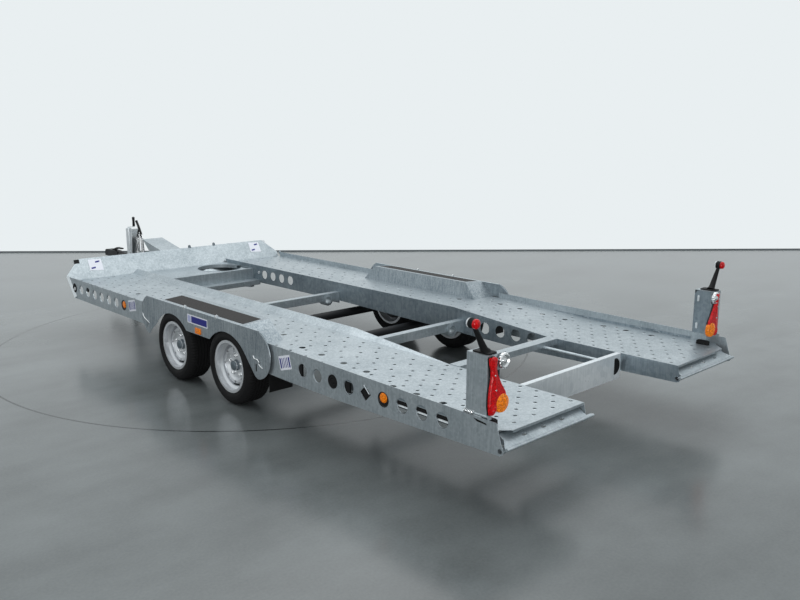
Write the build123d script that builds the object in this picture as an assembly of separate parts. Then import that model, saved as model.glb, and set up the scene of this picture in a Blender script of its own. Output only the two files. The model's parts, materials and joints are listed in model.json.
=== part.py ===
from build123d import *
import math
import os

# Twin-axle car transporter trailer, in millimetres.
# +Y is the direction of travel, +X is the trailer's right, +Z is up, the floor is Z = 0.
# Everything is drawn with Y = 0 midway between the axles. The last step moves it along Y,
# so that the origin lies under the middle of the whole trailer.

# ---- driving dimensions ------------------------------------------------------------------

SHEET = 3.0                    # folded steel of rails, webs and decks
THIN_SHEET = 2.0               # mudguards and lamp housings
SEAT_GAP = 0.3                 # between a sliding or turning piece and what carries it
MOVING_GAP = 6.0               # between a moving piece and anything it passes

# platform
HALF_WIDTH = 1146.0            # to the outer face of a side rail
BAY_HALF_WIDTH = 481.0         # to the inner face of a track's inner web
DECK_FRONT_Y = 2351.0
DECK_REAR_Y = -2702.0
DECK_FRONT_Z = 470.0
DECK_REAR_Z = 441.0
DECK_FALL_START_Y = -890.0
DECK_FALL_END_Y = -1750.0
RAIL_LIP_FRONT = 45.0          # height of the rail above the deck at the front
RAIL_LIP_REAR = 51.0
RAIL_BOTTOM_FRONT_Z = 338.0
RAIL_BOTTOM_LOW_Z = 312.0
RAIL_BOTTOM_REAR_Z = 338.0
RAIL_LOW_START_Y = -1040.0
RAIL_LOW_END_Y = -1540.0
RAIL_FRONT_RAKE = 163.0        # how far the rail's lower front corner stands back
RAIL_REAR_RAKE = 26.0          # how far its upper rear corner stands forward of the deck's end
CURB_HEIGHT = 38.0             # inner edge of a track above its deck
CURB_WIDTH = 48.0
CURB_FADE_END_Y = -1750.0
DECK_CORNER_CUT = 95.0         # cut off the deck's outer rear corner
DECK_LIP = 16.0                # turned down along the deck's rear edge

# round holes in rails and webs
HOLE_DIAMETER = 85.0
HOLE_PITCH = 142.5
RAIL_FRONT_FIRST_HOLE = 149.0  # behind the deck's front end
RAIL_REAR_LAST_HOLE = 367.0    # ahead of the deck's rear end
HOLES_PER_END = 9
RAIL_FRONT_HOLE_Z = 430.0
RAIL_REAR_HOLE_Z = 412.0
WEB_FRONT_FIRST_HOLE = 720.0
WEB_REAR_LAST_HOLE = 1073.0
WEB_HOLE_COUNT = 4
WEB_REAR_HOLE_Z = 400.0
DIAMOND_SIDE = 62.0

# wheels
AXLE_SPACING = 745.0
WHEEL_FACE_X = 1149.0          # outer flange of a rim
TYRE_DIAMETER = 520.0
TYRE_WIDTH = 196.0
RIM_DIAMETER = 358.0           # over the flanges
RIM_SEAT_DIAMETER = 330.0
RIM_WELL_DIAMETER = 292.0
RIM_WIDTH = 172.0
RIM_WALL = 4.0
RIM_FLANGE = 9.0               # width of a rim flange
DISC_INSET = 62.0              # rim face to the disc's outer face
DISC_THICKNESS = 6.0
DISC_DISH = 18.0
HAND_HOLE_COUNT = 8
HAND_HOLE_DIAMETER = 26.0
STUD_CIRCLE = 140.0
STUD_COUNT = 5
STUD_DIAMETER = 19.0
HUB_DIAMETER = 66.0
DRUM_DIAMETER = 244.0
DRUM_WIDTH = 58.0
STUB_DIAMETER = 34.0
STUB_CLEARANCE = 0.05

# axles and springs
AXLE_TUBE = 70.0
AXLE_TUBE_WALL = 5.0
SPRING_X = 735.0               # centre of a leaf spring and its hangers
SPRING_WIDTH = 60.0
LEAF_THICKNESS = 8.0
LEAF_COUNT = 4
SPRING_HALF_SPAN = 300.0
HANGER_THICKNESS = 6.0
BACKPLATE_THICKNESS = 4.0

# mudguards
GUARD_STANDOFF = 17.0          # mudguard's outer face outside the rail's
GUARD_COVER_WIDTH = 211.0      # from the rail's outer face to the cover's inner face
GUARD_TOP_Z = 577.0
GUARD_INNER_TOP_Z = 594.0
GUARD_TOP_FRONT_Y = 750.0
GUARD_TOP_REAR_Y = -774.0
GUARD_LOBE_FRONT = 101.0       # how far a round end lobe stands past its top corner
GUARD_LOBE_REAR = 115.0
GUARD_LOBE_Z = 443.0
GUARD_FOOT_FRONT_Z = 292.0
GUARD_FOOT_REAR_Z = 270.0
GUARD_FOOT_OUT = 10.0          # a foot's outer end past the top corner
GUARD_FOOT_IN_FRONT = 41.0     # its inner end behind that corner
GUARD_FOOT_IN_REAR = 70.0
GUARD_FOOT_RISE_FRONT = 27.0   # inner end above the outer end
GUARD_FOOT_RISE_REAR = 12.0
GUARD_FOOT_ROUND = 14.0        # how deep the foot is rounded
GUARD_SLOT_HEIGHT = 50.0       # upright latch slot in each lobe
GUARD_SLOT_WIDTH = 14.0
GUARD_SLOT_FRONT_Y = 759.0
GUARD_SLOT_FRONT_Z = 358.0
GUARD_SLOT_REAR_Y = -727.0
GUARD_SLOT_REAR_Z = 332.0
GUARD_BRACKET_LENGTH = 40.0
GUARD_BRACKET_HEIGHT = 40.0
COVER_FRONT_Y = 660.0          # ends of the raised cover at the deck
COVER_REAR_Y = -700.0
COVER_FRONT_SLOPE = 125.0      # its end slopes, measured along Y
COVER_REAR_SLOPE = 120.0
COVER_LEAN = 18.0              # its inner face's slope, measured along X
GRIP_MARGIN = 28.0
GRIP_WIDTH = 140.0
GRIP_FRONT_Y = 515.0
GRIP_REAR_Y = -545.0
GRIP_THICKNESS = 1.0
ARCH_RADIUS = 302.0
ARCH_DROP = 63.0               # arch centre below the axle
ARCH_CENTRE_Z = 412.0          # lower edge between the arches
ARCH_END_ANGLE = 40.0          # where an arch turns into a straight leg, above level
MUDFLAP_INSET = 20.0           # flap's outer edge inside the tyre's
MUDFLAP_BOTTOM_Z = 190.0
MUDFLAP_THICKNESS = 5.0
MUDFLAP_SETBACK = 60.0         # behind the wheel bay

# headboard and front
HEADBOARD_HEIGHT = 175.0
HEADBOARD_LEAN = 111.0
HEADBOARD_TOP_HALF = 996.0
FRONT_PANEL_LENGTH = 521.0
VALANCE_SIDE_BOTTOM_Z = 425.0  # the raked front stays open below this, under the tracks
FRONT_LAMP_WIDTH = 44.0
FRONT_LAMP_HEIGHT = 40.0
FRONT_LAMP_DEPTH = 24.0
RING_X = 240.0
RING_FROM_FRONT = 286.0
RING_RADIUS = 210.0
RING_COLLAR = 30.0
NOTCH_WIDTH = 55.0
NOTCH_LENGTH = 220.0

# members across the bay
CHANNEL_DEPTH = 105.0
CHANNEL_SHELF = 120.0
CHANNEL_LIP = 42.0
FRONT_BEAM_Y = 500.0
MIDDLE_BEAM_Y = -965.0
BEAM_TOP_Z = 426.0
BEAM_HEIGHT = 63.0
BEAM_WIDTH = 58.0
BEAM_FLARE = 120.0
BEAM_FLARE_DROP = 34.0
BOSS_X = 352.0
BOSS_DIAMETER = 98.0
BOSS_BORE = 62.0
BOSS_LENGTH = 74.0
BOSS_DROP = 22.0               # boss centre below the beam's middle
ANGLE_BEAM_Y = -1800.0
ANGLE_WIDTH = 78.0
ANGLE_DEPTH = 40.0
REAR_BEAM_Y = -2320.0
REAR_BEAM_BOTTOM_Z = 281.0
REAR_BEAM_FLANGE = 34.0
REAR_BEAM_HOLE_HEIGHT = 106.0
REAR_BEAM_HOLE_WIDTH = 66.0
REAR_BEAM_HOLE_EDGE = 3.0      # from the web to the opening
TIE_TUBE_X = 335.0
TIE_TUBE_DIAMETER = 22.0

# hook tube and ramps at the rear
HOOK_TUBE_DIAMETER = 33.0
HOOK_TUBE_BORE = 25.0
HOOK_TUBE_Z = 361.0
RAMP_LENGTH = 1310.0
RAMP_SIDE_GAP = 39.5           # from a ramp's side to the rail and the web
RAMP_REAR_INSET = 45.0         # ramp's square rear end ahead of the deck's end
RAMP_THICKNESS = 42.0
RAMP_SIDE = 30.0
RAMP_RUNG = 20.0
RAMP_RUNG_COUNT = 9
RAMP_LIP_DROP = 45.0
RAMP_LIP_RUN = 80.0
RAMP_LIP_ROLL = 16.0
RAMP_LIP_THICKNESS = 8.0
TOE_OUTER_INSET = 8.0          # toe plate's outer end inside the rail's outer face
TOE_INNER_REACH = 33.0         # its inner end past the web
TOE_SLOT_LENGTH = 34.0
TOE_SLOT_WIDTH = 14.0
TOE_SLOT_PITCH = 149.0
TOE_SLOT_COUNT = 3
RUNNER_Y = -1640.0
RUNNER_SIZE = 25.0

# rear lamp posts
POST_FRONT_Y = -2490.0
POST_REAR_Y = -2618.0
POST_HEIGHT = 304.0
POST_WIDTH = 92.0
POST_HINGE_DIAMETER = 12.0
POST_KNUCKLE_DIAMETER = 18.0
POST_EAR_LENGTH = 8.0          # ears that carry the hinge pin, along Y
POST_BACK_WIDTH = 128.0        # upper part of the back plate, behind the hinge knob
POST_BACK_DEPTH = 74.0
POST_BACK_INSET = 4.0          # back plate inside the lamp's outline
LAMP_DEPTH = 26.0
LAMP_TOP_DROP = 6.0            # lamp below the post's top
LAMP_TOP_WIDTH = 52.0
LAMP_WAIST_WIDTH = 44.0
LAMP_WIDE_WIDTH = 108.0
LAMP_FOOT_WIDTH = 26.0
LAMP_WAIST_DROP = 76.0         # below the lamp's top
LAMP_WIDE_DROP = 186.0
LAMP_HEIGHT = 268.0
LAMP_LENS_DIAMETER = 94.0      # round lens at the lamp's inner foot
LAMP_LENS_X = 62.0             # lens centre inside the post's outer face
LAMP_LENS_DROP = 215.0
LAMP_LENS_DEPTH = 34.0
POST_CAP_LENGTH = 104.0        # rubber foot of the marker lamp's stalk
POST_CAP_WIDTH = 66.0
POST_CAP_HEIGHT = 9.0
STALK_FOOT_X = 37.0            # stalk's foot inside the post's outer face
STALK_FOOT_BACK = 16.0         # and behind the post's middle
STALK_HEIGHT = 153.0
STALK_OUT = 90.0
STALK_BACK = 15.0
STALK_FOOT_DIAMETER = 36.0
STALK_DIAMETER = 22.0
STALK_LAMP_DIAMETER = 50.0
STALK_LAMP_LENGTH = 56.0

# drawbar, coupling, jockey wheel
COUPLING_TIP_Y = 4130.0
COUPLING_Z = 440.0
ARM_HEIGHT = 60.0
ARM_WIDTH = 50.0
ARM_REAR_X = 400.0
ARM_FRONT_Y = 3050.0
ARM_FRONT_X = 90.0
ARM_END_GAP = 15.5             # the arm's square end stands this far inside the channel's lip
DAMPER_REAR_Y = 3120.0
DAMPER_DIAMETER = 72.0
DAMPER_PLATE = 6.0
HEAD_LENGTH = 330.0
HEAD_WIDTH = 78.0
HEAD_HEIGHT = 74.0
BALL_DIAMETER = 50.0
BALL_CLEARANCE = 0.5
JOCKEY_X = -128.0
JOCKEY_Y = 3262.0
JOCKEY_TUBE_DIAMETER = 60.0
JOCKEY_TUBE_WALL = 3.0
JOCKEY_TUBE_TOP_Z = 795.0
JOCKEY_TUBE_BOTTOM_Z = 400.0
JOCKEY_LEG_TOP_Z = 560.0
JOCKEY_WHEEL_DIAMETER = 200.0
JOCKEY_WHEEL_WIDTH = 60.0
JOCKEY_TRAIL = 45.0
JOCKEY_PIN = 16.0
FORK_THICKNESS = 5.0
WINDER_HEIGHT = 115.0
WINDER_REACH = 58.0
WINDER_GRIP_DIAMETER = 22.0
LEVER_X = -58.0
LEVER_THICKNESS = 8.0
LEVER_KNEE_Z = 700.0
LEVER_TOP_Z = 850.0
BRAKE_POST_Y = 3160.0          # upright plate between the brake lever and the jockey wheel
BRAKE_POST_TOP_Z = 794.0
BRAKE_POST_TOP_WIDTH = 78.0
BRAKE_POST_WIDTH = 90.0
BRAKE_POST_WIDE_Z = 552.0
BRAKE_POST_FOOT_WIDTH = 50.0
WINCH_TOP_Y = 2990.0
WINCH_TOP_Z = 700.0
WINCH_WIDTH = 220.0
WINCH_REAR_Y = 2480.0
WINCH_REAR_Z = 598.0
WINCH_FOOT_LENGTH = 190.0
WINCH_FOOT_REACH = 130.0       # foot plate past the channel's cheeks

# ---- worked-out places -------------------------------------------------------------------

REAR_TIP_Y = DECK_REAR_Y + RAMP_REAR_INSET - RAMP_LIP_RUN - RAMP_LIP_ROLL / 2
SHIFT_Y = -(COUPLING_TIP_Y + REAR_TIP_Y) / 2
AXLE_Z = TYRE_DIAMETER / 2
RAIL_INNER_X = HALF_WIDTH - SHEET
WEB_OUTER_X = BAY_HALF_WIDTH + SHEET
TYRE_OUTER_X = WHEEL_FACE_X + (TYRE_WIDTH - RIM_WIDTH) / 2
TYRE_INNER_X = TYRE_OUTER_X - TYRE_WIDTH
GUARD_OUTER_X = HALF_WIDTH + GUARD_STANDOFF
GUARD_INNER_X = HALF_WIDTH - GUARD_COVER_WIDTH
RAMP_WIDTH = RAIL_INNER_X - WEB_OUTER_X - 2 * RAMP_SIDE_GAP
BAY_FRONT_Y = GUARD_TOP_FRONT_Y + 3.0
BAY_REAR_Y = GUARD_TOP_REAR_Y - 3.0
HOOK_TUBE_Y = DECK_REAR_Y
FRONT_CHANNEL_Y = DECK_FRONT_Y - FRONT_PANEL_LENGTH
ARM_TOP_Z = DECK_FRONT_Z - CHANNEL_DEPTH
ARM_REAR_Y = FRONT_CHANNEL_Y - CHANNEL_SHELF + SHEET + ARM_END_GAP
JOCKEY_BORE = JOCKEY_TUBE_DIAMETER - 2 * JOCKEY_TUBE_WALL
JOCKEY_AXLE_Z = JOCKEY_WHEEL_DIAMETER / 2
FORK_TOP_Z = JOCKEY_WHEEL_DIAMETER + 16.0


def interpolate(y, stations):
    """Height at y on a line of (y, z) stations that run from front to rear."""
    for (y0, z0), (y1, z1) in zip(stations, stations[1:]):
        if y1 <= y <= y0:
            return z0 + (z1 - z0) * (y0 - y) / (y0 - y1)
    return stations[0][1] if y > stations[0][0] else stations[-1][1]


DECK_LINE = [
    (DECK_FRONT_Y, DECK_FRONT_Z),
    (DECK_FALL_START_Y, DECK_FRONT_Z),
    (DECK_FALL_END_Y, DECK_REAR_Z),
    (DECK_REAR_Y, DECK_REAR_Z),
]
RAIL_TOP_LINE = [
    (DECK_FRONT_Y, DECK_FRONT_Z + RAIL_LIP_FRONT),
    (DECK_FALL_START_Y, DECK_FRONT_Z + RAIL_LIP_FRONT - 4.0),
    (DECK_REAR_Y + RAIL_REAR_RAKE, DECK_REAR_Z + RAIL_LIP_REAR),
]
RAIL_BOTTOM_LINE = [
    (DECK_FRONT_Y - RAIL_FRONT_RAKE, RAIL_BOTTOM_FRONT_Z),
    (BAY_FRONT_Y, RAIL_BOTTOM_FRONT_Z),
    (RAIL_LOW_START_Y, RAIL_BOTTOM_LOW_Z),
    (RAIL_LOW_END_Y, RAIL_BOTTOM_LOW_Z),
    (HOOK_TUBE_Y, RAIL_BOTTOM_REAR_Z),
]


def deck_z(y):
    return interpolate(y, DECK_LINE)


def rail_top_z(y):
    return interpolate(y, RAIL_TOP_LINE)


# ---- helpers -----------------------------------------------------------------------------

def side_prism(points, x0, x1):
    """Solid between x0 and x1 with a (y, z) outline."""
    sketch = Plane.YZ.offset(min(x0, x1)) * Polygon(*points, align=None)
    return extrude(sketch, amount=abs(x1 - x0), dir=(1, 0, 0))


def cross_prism(points, y0, y1):
    """Solid between y0 and y1 with an (x, z) outline."""
    sketch = Plane.XZ.offset(-min(y0, y1)) * Polygon(*points, align=None)
    return extrude(sketch, amount=abs(y1 - y0), dir=(0, 1, 0))


def plan_prism(points, z0, z1):
    """Solid between z0 and z1 with an (x, y) outline."""
    sketch = Plane.XY.offset(min(z0, z1)) * Polygon(*points, align=None)
    return extrude(sketch, amount=abs(z1 - z0), dir=(0, 0, 1))


def block(x0, x1, y0, y1, z0, z1):
    centre = Pos((x0 + x1) / 2, (y0 + y1) / 2, (z0 + z1) / 2)
    return centre * Box(abs(x1 - x0), abs(y1 - y0), abs(z1 - z0))


def rod_x(x0, x1, y, z, diameter):
    return Pos((x0 + x1) / 2, y, z) * Rot(0, 90, 0) * Cylinder(diameter / 2, abs(x1 - x0))


def rod_y(x, y0, y1, z, diameter):
    return Pos(x, (y0 + y1) / 2, z) * Rot(90, 0, 0) * Cylinder(diameter / 2, abs(y1 - y0))


def rod_z(x, y, z0, z1, diameter):
    return Pos(x, y, (z0 + z1) / 2) * Cylinder(diameter / 2, abs(z1 - z0))


def turned_x(profile, y, z):
    """Solid of revolution about the line along X at (y, z), from (x, radius) points."""
    sketch = Plane.XY * Polygon(*profile, align=None)
    return Pos(0, y, z) * revolve(sketch, Axis.X)


def right_of(part):
    return mirror(part, Plane.YZ)


# ---- platform ----------------------------------------------------------------------------

def rail_hole_stations():
    front = [DECK_FRONT_Y - RAIL_FRONT_FIRST_HOLE - i * HOLE_PITCH for i in range(HOLES_PER_END)]
    rear = [DECK_REAR_Y + RAIL_REAR_LAST_HOLE + i * HOLE_PITCH for i in range(HOLES_PER_END)]
    return front, rear


def side_rail():
    """Left side rail: a front and a rear length, parted by the wheel bay."""
    front_holes, rear_holes = rail_hole_stations()
    bottom_rear = interpolate(BAY_REAR_Y, RAIL_BOTTOM_LINE)
    front = [
        RAIL_TOP_LINE[0],
        RAIL_BOTTOM_LINE[0],
        (BAY_FRONT_Y, RAIL_BOTTOM_FRONT_Z),
        (BAY_FRONT_Y, interpolate(BAY_FRONT_Y, RAIL_TOP_LINE)),
    ]
    rear = [
        (BAY_REAR_Y, interpolate(BAY_REAR_Y, RAIL_TOP_LINE)),
        (BAY_REAR_Y, bottom_rear),
        *RAIL_BOTTOM_LINE[2:],
        (HOOK_TUBE_Y - HOOK_TUBE_DIAMETER / 2, HOOK_TUBE_Z),
        RAIL_TOP_LINE[2],
        RAIL_TOP_LINE[1],
    ]
    rail = side_prism(front, -HALF_WIDTH, -RAIL_INNER_X) + side_prism(rear, -HALF_WIDTH, -RAIL_INNER_X)
    rail += rod_x(-HALF_WIDTH, -RAIL_INNER_X, HOOK_TUBE_Y, HOOK_TUBE_Z, HOOK_TUBE_DIAMETER + 8.0)
    rail -= rod_x(-HALF_WIDTH, -RAIL_INNER_X, HOOK_TUBE_Y, HOOK_TUBE_Z, HOOK_TUBE_BORE)
    for y in front_holes[:-1]:
        rail -= rod_x(-HALF_WIDTH, -RAIL_INNER_X, y, RAIL_FRONT_HOLE_Z, HOLE_DIAMETER)
    for index, y in enumerate(rear_holes):
        if index == 4:
            cutter = Rot(45, 0, 0) * Box(3 * SHEET, DIAMOND_SIDE, DIAMOND_SIDE)
            rail -= Pos(-HALF_WIDTH, y, RAIL_REAR_HOLE_Z) * cutter
        else:
            rail -= rod_x(-HALF_WIDTH, -RAIL_INNER_X, y, RAIL_REAR_HOLE_Z, HOLE_DIAMETER)
    return rail


def inner_web():
    """Left track's inner web, with its curb folded out over the deck."""
    top = [
        (DECK_FRONT_Y, DECK_FRONT_Z + CURB_HEIGHT),
        (DECK_FALL_START_Y, DECK_FRONT_Z + CURB_HEIGHT),
        (CURB_FADE_END_Y, DECK_REAR_Z),
        (DECK_REAR_Y, DECK_REAR_Z),
    ]
    bottom = [
        (HOOK_TUBE_Y, RAIL_BOTTOM_REAR_Z),
        (RAIL_LOW_END_Y, RAIL_BOTTOM_LOW_Z),
        (RAIL_LOW_START_Y, RAIL_BOTTOM_LOW_Z + 10.0),
        (FRONT_BEAM_Y, RAIL_BOTTOM_FRONT_Z + 12.0),
        RAIL_BOTTOM_LINE[0],
    ]
    ear = [(HOOK_TUBE_Y - HOOK_TUBE_DIAMETER / 2, HOOK_TUBE_Z)]
    web = side_prism(top + ear + bottom, -WEB_OUTER_X, -BAY_HALF_WIDTH)
    web += rod_x(-WEB_OUTER_X, -BAY_HALF_WIDTH, HOOK_TUBE_Y, HOOK_TUBE_Z, HOOK_TUBE_DIAMETER + 8.0)
    web -= rod_x(-WEB_OUTER_X, -BAY_HALF_WIDTH, HOOK_TUBE_Y, HOOK_TUBE_Z, HOOK_TUBE_BORE)
    for i in range(WEB_HOLE_COUNT):
        front = DECK_FRONT_Y - WEB_FRONT_FIRST_HOLE - i * HOLE_PITCH
        rear = DECK_REAR_Y + WEB_REAR_LAST_HOLE + i * HOLE_PITCH
        web -= rod_x(-WEB_OUTER_X, -BAY_HALF_WIDTH, front, RAIL_FRONT_HOLE_Z, HOLE_DIAMETER)
        web -= rod_x(-WEB_OUTER_X, -BAY_HALF_WIDTH, rear, WEB_REAR_HOLE_Z, HOLE_DIAMETER)
    return web + curb()


def curb():
    """Sloping sheet from the web's top out to the deck, then its fade to the deck's level."""
    inner = -WEB_OUTER_X
    outer = inner - CURB_WIDTH
    top = DECK_FRONT_Z + CURB_HEIGHT
    foot = DECK_FRONT_Z
    section = [(inner, top), (outer, foot), (outer + 5.0, foot), (inner, top - SHEET)]
    return cross_prism(section, DECK_FALL_START_Y, DECK_FRONT_Y) + fade_wedge()


def fade_wedge():
    """The curb's last stretch, a thin pyramid that runs out level with the deck."""
    x = -WEB_OUTER_X
    top = DECK_FRONT_Z + CURB_HEIGHT
    y = DECK_FALL_START_Y
    tip = (x, CURB_FADE_END_Y, DECK_REAR_Z)
    a = (x, y, DECK_FRONT_Z)
    b = (x, y, top)
    c = (x - CURB_WIDTH, y, DECK_FRONT_Z)
    faces = [
        Face(Wire.make_polygon([a, b, c])),
        Face(Wire.make_polygon([a, b, tip])),
        Face(Wire.make_polygon([b, c, tip])),
        Face(Wire.make_polygon([a, c, tip])),
    ]
    return Solid(Shell(faces))


def track_deck():
    """Left track's running surface, with the wheel bay and the rear corner cut out."""
    top = DECK_LINE
    under = [(y, z - SHEET) for y, z in reversed(DECK_LINE)]
    deck = side_prism(top + under, -RAIL_INNER_X, -WEB_OUTER_X)
    deck += block(
        -RAIL_INNER_X, -WEB_OUTER_X, DECK_REAR_Y, DECK_REAR_Y + SHEET,
        DECK_REAR_Z - DECK_LIP, DECK_REAR_Z - SHEET,
    )
    deck -= block(
        -RAIL_INNER_X, -GUARD_INNER_X, COVER_REAR_Y, COVER_FRONT_Y,
        DECK_REAR_Z - DECK_LIP, DECK_FRONT_Z + SHEET,
    )
    corner = [
        (-RAIL_INNER_X, DECK_REAR_Y),
        (-RAIL_INNER_X + DECK_CORNER_CUT, DECK_REAR_Y),
        (-RAIL_INNER_X, DECK_REAR_Y + DECK_CORNER_CUT),
    ]
    return deck - plan_prism(corner, DECK_REAR_Z - DECK_LIP, DECK_REAR_Z + SHEET)


def front_deck():
    """Panel between the tracks at the front, with its round opening."""
    top = DECK_FRONT_Z
    ring_y = DECK_FRONT_Y - RING_FROM_FRONT
    panel = block(-BAY_HALF_WIDTH, BAY_HALF_WIDTH, FRONT_CHANNEL_Y, DECK_FRONT_Y, top - SHEET, top)
    panel += rod_z(RING_X, ring_y, top - RING_COLLAR, top + SHEET, 2 * (RING_RADIUS + SHEET))
    panel -= rod_z(RING_X, ring_y, top - RING_COLLAR, top + SHEET, 2 * RING_RADIUS)
    notch_front = FRONT_CHANNEL_Y + 35.0 + NOTCH_LENGTH
    panel -= block(
        BAY_HALF_WIDTH - 3.0 - NOTCH_WIDTH, BAY_HALF_WIDTH - 3.0,
        notch_front - NOTCH_LENGTH, notch_front, top - RING_COLLAR, top + SHEET,
    )
    return panel.solids().sort_by(SortBy.VOLUME)[-1]


def headboard():
    """Plate that leans forward across the front, with both upper corners cut off."""
    slant = math.hypot(HEADBOARD_HEIGHT, HEADBOARD_LEAN)
    shoulder = RAIL_LIP_FRONT * slant / HEADBOARD_HEIGHT
    outline = [
        (-RAIL_INNER_X, 0),
        (RAIL_INNER_X, 0),
        (RAIL_INNER_X, shoulder),
        (HEADBOARD_TOP_HALF, slant),
        (-HEADBOARD_TOP_HALF, slant),
        (-RAIL_INNER_X, shoulder),
    ]
    normal = (0, HEADBOARD_HEIGHT, -HEADBOARD_LEAN)
    plane = Plane(origin=(0, DECK_FRONT_Y, DECK_FRONT_Z), x_dir=(-1, 0, 0), z_dir=normal)
    return extrude(plane * Polygon(*outline, align=None), amount=SHEET, dir=normal)


def headboard_front_y(z):
    """Front face of the leaning headboard at height z."""
    slant = math.hypot(HEADBOARD_HEIGHT, HEADBOARD_LEAN)
    face = SHEET * slant / HEADBOARD_HEIGHT
    return DECK_FRONT_Y + face + (z - DECK_FRONT_Z) * HEADBOARD_LEAN / HEADBOARD_HEIGHT


def front_valance():
    """Sheet that closes the raked front, from the deck down to the rails' lower corners."""
    run = RAIL_FRONT_RAKE
    drop = RAIL_TOP_LINE[0][1] - RAIL_BOTTOM_FRONT_Z
    front_y = DECK_FRONT_Y - run * RAIL_LIP_FRONT / drop
    outline = [
        (front_y, DECK_FRONT_Z - SHEET),
        (DECK_FRONT_Y - run, RAIL_BOTTOM_FRONT_Z),
        (DECK_FRONT_Y - run - SHEET, RAIL_BOTTOM_FRONT_Z),
        (front_y - SHEET, DECK_FRONT_Z - SHEET),
    ]
    side = side_prism(outline, -RAIL_INNER_X, -WEB_OUTER_X)
    side -= block(
        -RAIL_INNER_X, -WEB_OUTER_X, DECK_FRONT_Y - run - SHEET, DECK_FRONT_Y,
        RAIL_BOTTOM_FRONT_Z, VALANCE_SIDE_BOTTOM_Z,
    )
    middle = side_prism(outline, -BAY_HALF_WIDTH, BAY_HALF_WIDTH)
    middle -= block(
        -BAY_HALF_WIDTH, BAY_HALF_WIDTH, DECK_FRONT_Y - run - SHEET, DECK_FRONT_Y,
        RAIL_BOTTOM_FRONT_Z, ARM_TOP_Z + 1.0,
    )
    return side + middle + right_of(side)


# ---- members across the bay --------------------------------------------------------------

def front_crossmember():
    top = DECK_FRONT_Z - SHEET
    shelf_z = DECK_FRONT_Z - CHANNEL_DEPTH
    y = FRONT_CHANNEL_Y
    outline = [
        (y + SHEET, top),
        (y, top),
        (y, shelf_z + SHEET),
        (y - CHANNEL_SHELF, shelf_z + SHEET),
        (y - CHANNEL_SHELF, shelf_z - CHANNEL_LIP),
        (y - CHANNEL_SHELF + SHEET, shelf_z - CHANNEL_LIP),
        (y - CHANNEL_SHELF + SHEET, shelf_z),
        (y + SHEET, shelf_z),
    ]
    return side_prism(outline, -BAY_HALF_WIDTH, BAY_HALF_WIDTH)


def bay_beam(y):
    """Beam between the webs, deeper at its ends, with a bored boss near each end."""
    half = BAY_HALF_WIDTH
    top = BEAM_TOP_Z
    bottom = top - BEAM_HEIGHT
    outline = [
        (-half, top),
        (-half, bottom - BEAM_FLARE_DROP),
        (-half + BEAM_FLARE, bottom),
        (half - BEAM_FLARE, bottom),
        (half, bottom - BEAM_FLARE_DROP),
        (half, top),
    ]
    beam = cross_prism(outline, y - BEAM_WIDTH / 2, y + BEAM_WIDTH / 2)
    hollow = [
        (-half, top - SHEET),
        (-half, bottom + SHEET),
        (half, bottom + SHEET),
        (half, top - SHEET),
    ]
    beam -= cross_prism(hollow, y - BEAM_WIDTH / 2 + SHEET, y + BEAM_WIDTH / 2 - SHEET)
    boss_z = bottom + BEAM_HEIGHT / 2 - BOSS_DROP
    for x in (-BOSS_X, BOSS_X):
        beam += rod_y(x, y - BOSS_LENGTH / 2, y + BOSS_LENGTH / 2, boss_z, BOSS_DIAMETER)
        beam -= rod_y(x, y - BOSS_LENGTH / 2, y + BOSS_LENGTH / 2, boss_z, BOSS_BORE)
    return beam


def angle_crossmember():
    top = DECK_REAR_Z + 3.0
    y = ANGLE_BEAM_Y
    outline = [
        (y + ANGLE_WIDTH / 2, top),
        (y - ANGLE_WIDTH / 2, top),
        (y - ANGLE_WIDTH / 2, top - ANGLE_DEPTH),
        (y - ANGLE_WIDTH / 2 + SHEET, top - ANGLE_DEPTH),
        (y - ANGLE_WIDTH / 2 + SHEET, top - SHEET),
        (y + ANGLE_WIDTH / 2 - SHEET, top - SHEET),
        (y + ANGLE_WIDTH / 2 - SHEET, top - ANGLE_DEPTH),
        (y + ANGLE_WIDTH / 2, top - ANGLE_DEPTH),
    ]
    return side_prism(outline, -BAY_HALF_WIDTH, BAY_HALF_WIDTH)


def rear_crossmember():
    """Deep channel across the rear, open to the front, with an opening near each end."""
    top = DECK_REAR_Z
    bottom = REAR_BEAM_BOTTOM_Z
    y = REAR_BEAM_Y
    outline = [
        (y, top),
        (y, bottom),
        (y + REAR_BEAM_FLANGE, bottom),
        (y + REAR_BEAM_FLANGE, bottom + SHEET),
        (y + SHEET, bottom + SHEET),
        (y + SHEET, top - SHEET),
        (y + REAR_BEAM_FLANGE, top - SHEET),
        (y + REAR_BEAM_FLANGE, top),
    ]
    beam = side_prism(outline, -BAY_HALF_WIDTH, BAY_HALF_WIDTH)
    middle_z = (top + bottom) / 2 + 4.0
    radius = REAR_BEAM_HOLE_HEIGHT / 2
    for side in (-1, 1):
        edge = BAY_HALF_WIDTH - REAR_BEAM_HOLE_EDGE
        flat = side * (edge - REAR_BEAM_HOLE_WIDTH)
        hole = rod_y(side * (edge - radius), y, y + SHEET, middle_z, REAR_BEAM_HOLE_HEIGHT)
        hole -= block(flat, flat - side * radius, y, y + SHEET, middle_z - radius, middle_z + radius)
        beam -= hole
    return beam


def tie_tube():
    start = REAR_BEAM_Y + SHEET
    end = ANGLE_BEAM_Y - ANGLE_WIDTH / 2
    z = DECK_REAR_Z - ANGLE_DEPTH + 8.0
    return rod_y(TIE_TUBE_X, start, end, z, TIE_TUBE_DIAMETER)


# ---- rear end ----------------------------------------------------------------------------

def hook_tube():
    tube = rod_x(-RAIL_INNER_X, -WEB_OUTER_X, HOOK_TUBE_Y, HOOK_TUBE_Z, HOOK_TUBE_DIAMETER)
    return tube - rod_x(-RAIL_INNER_X, -WEB_OUTER_X, HOOK_TUBE_Y, HOOK_TUBE_Z, HOOK_TUBE_BORE)


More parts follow.
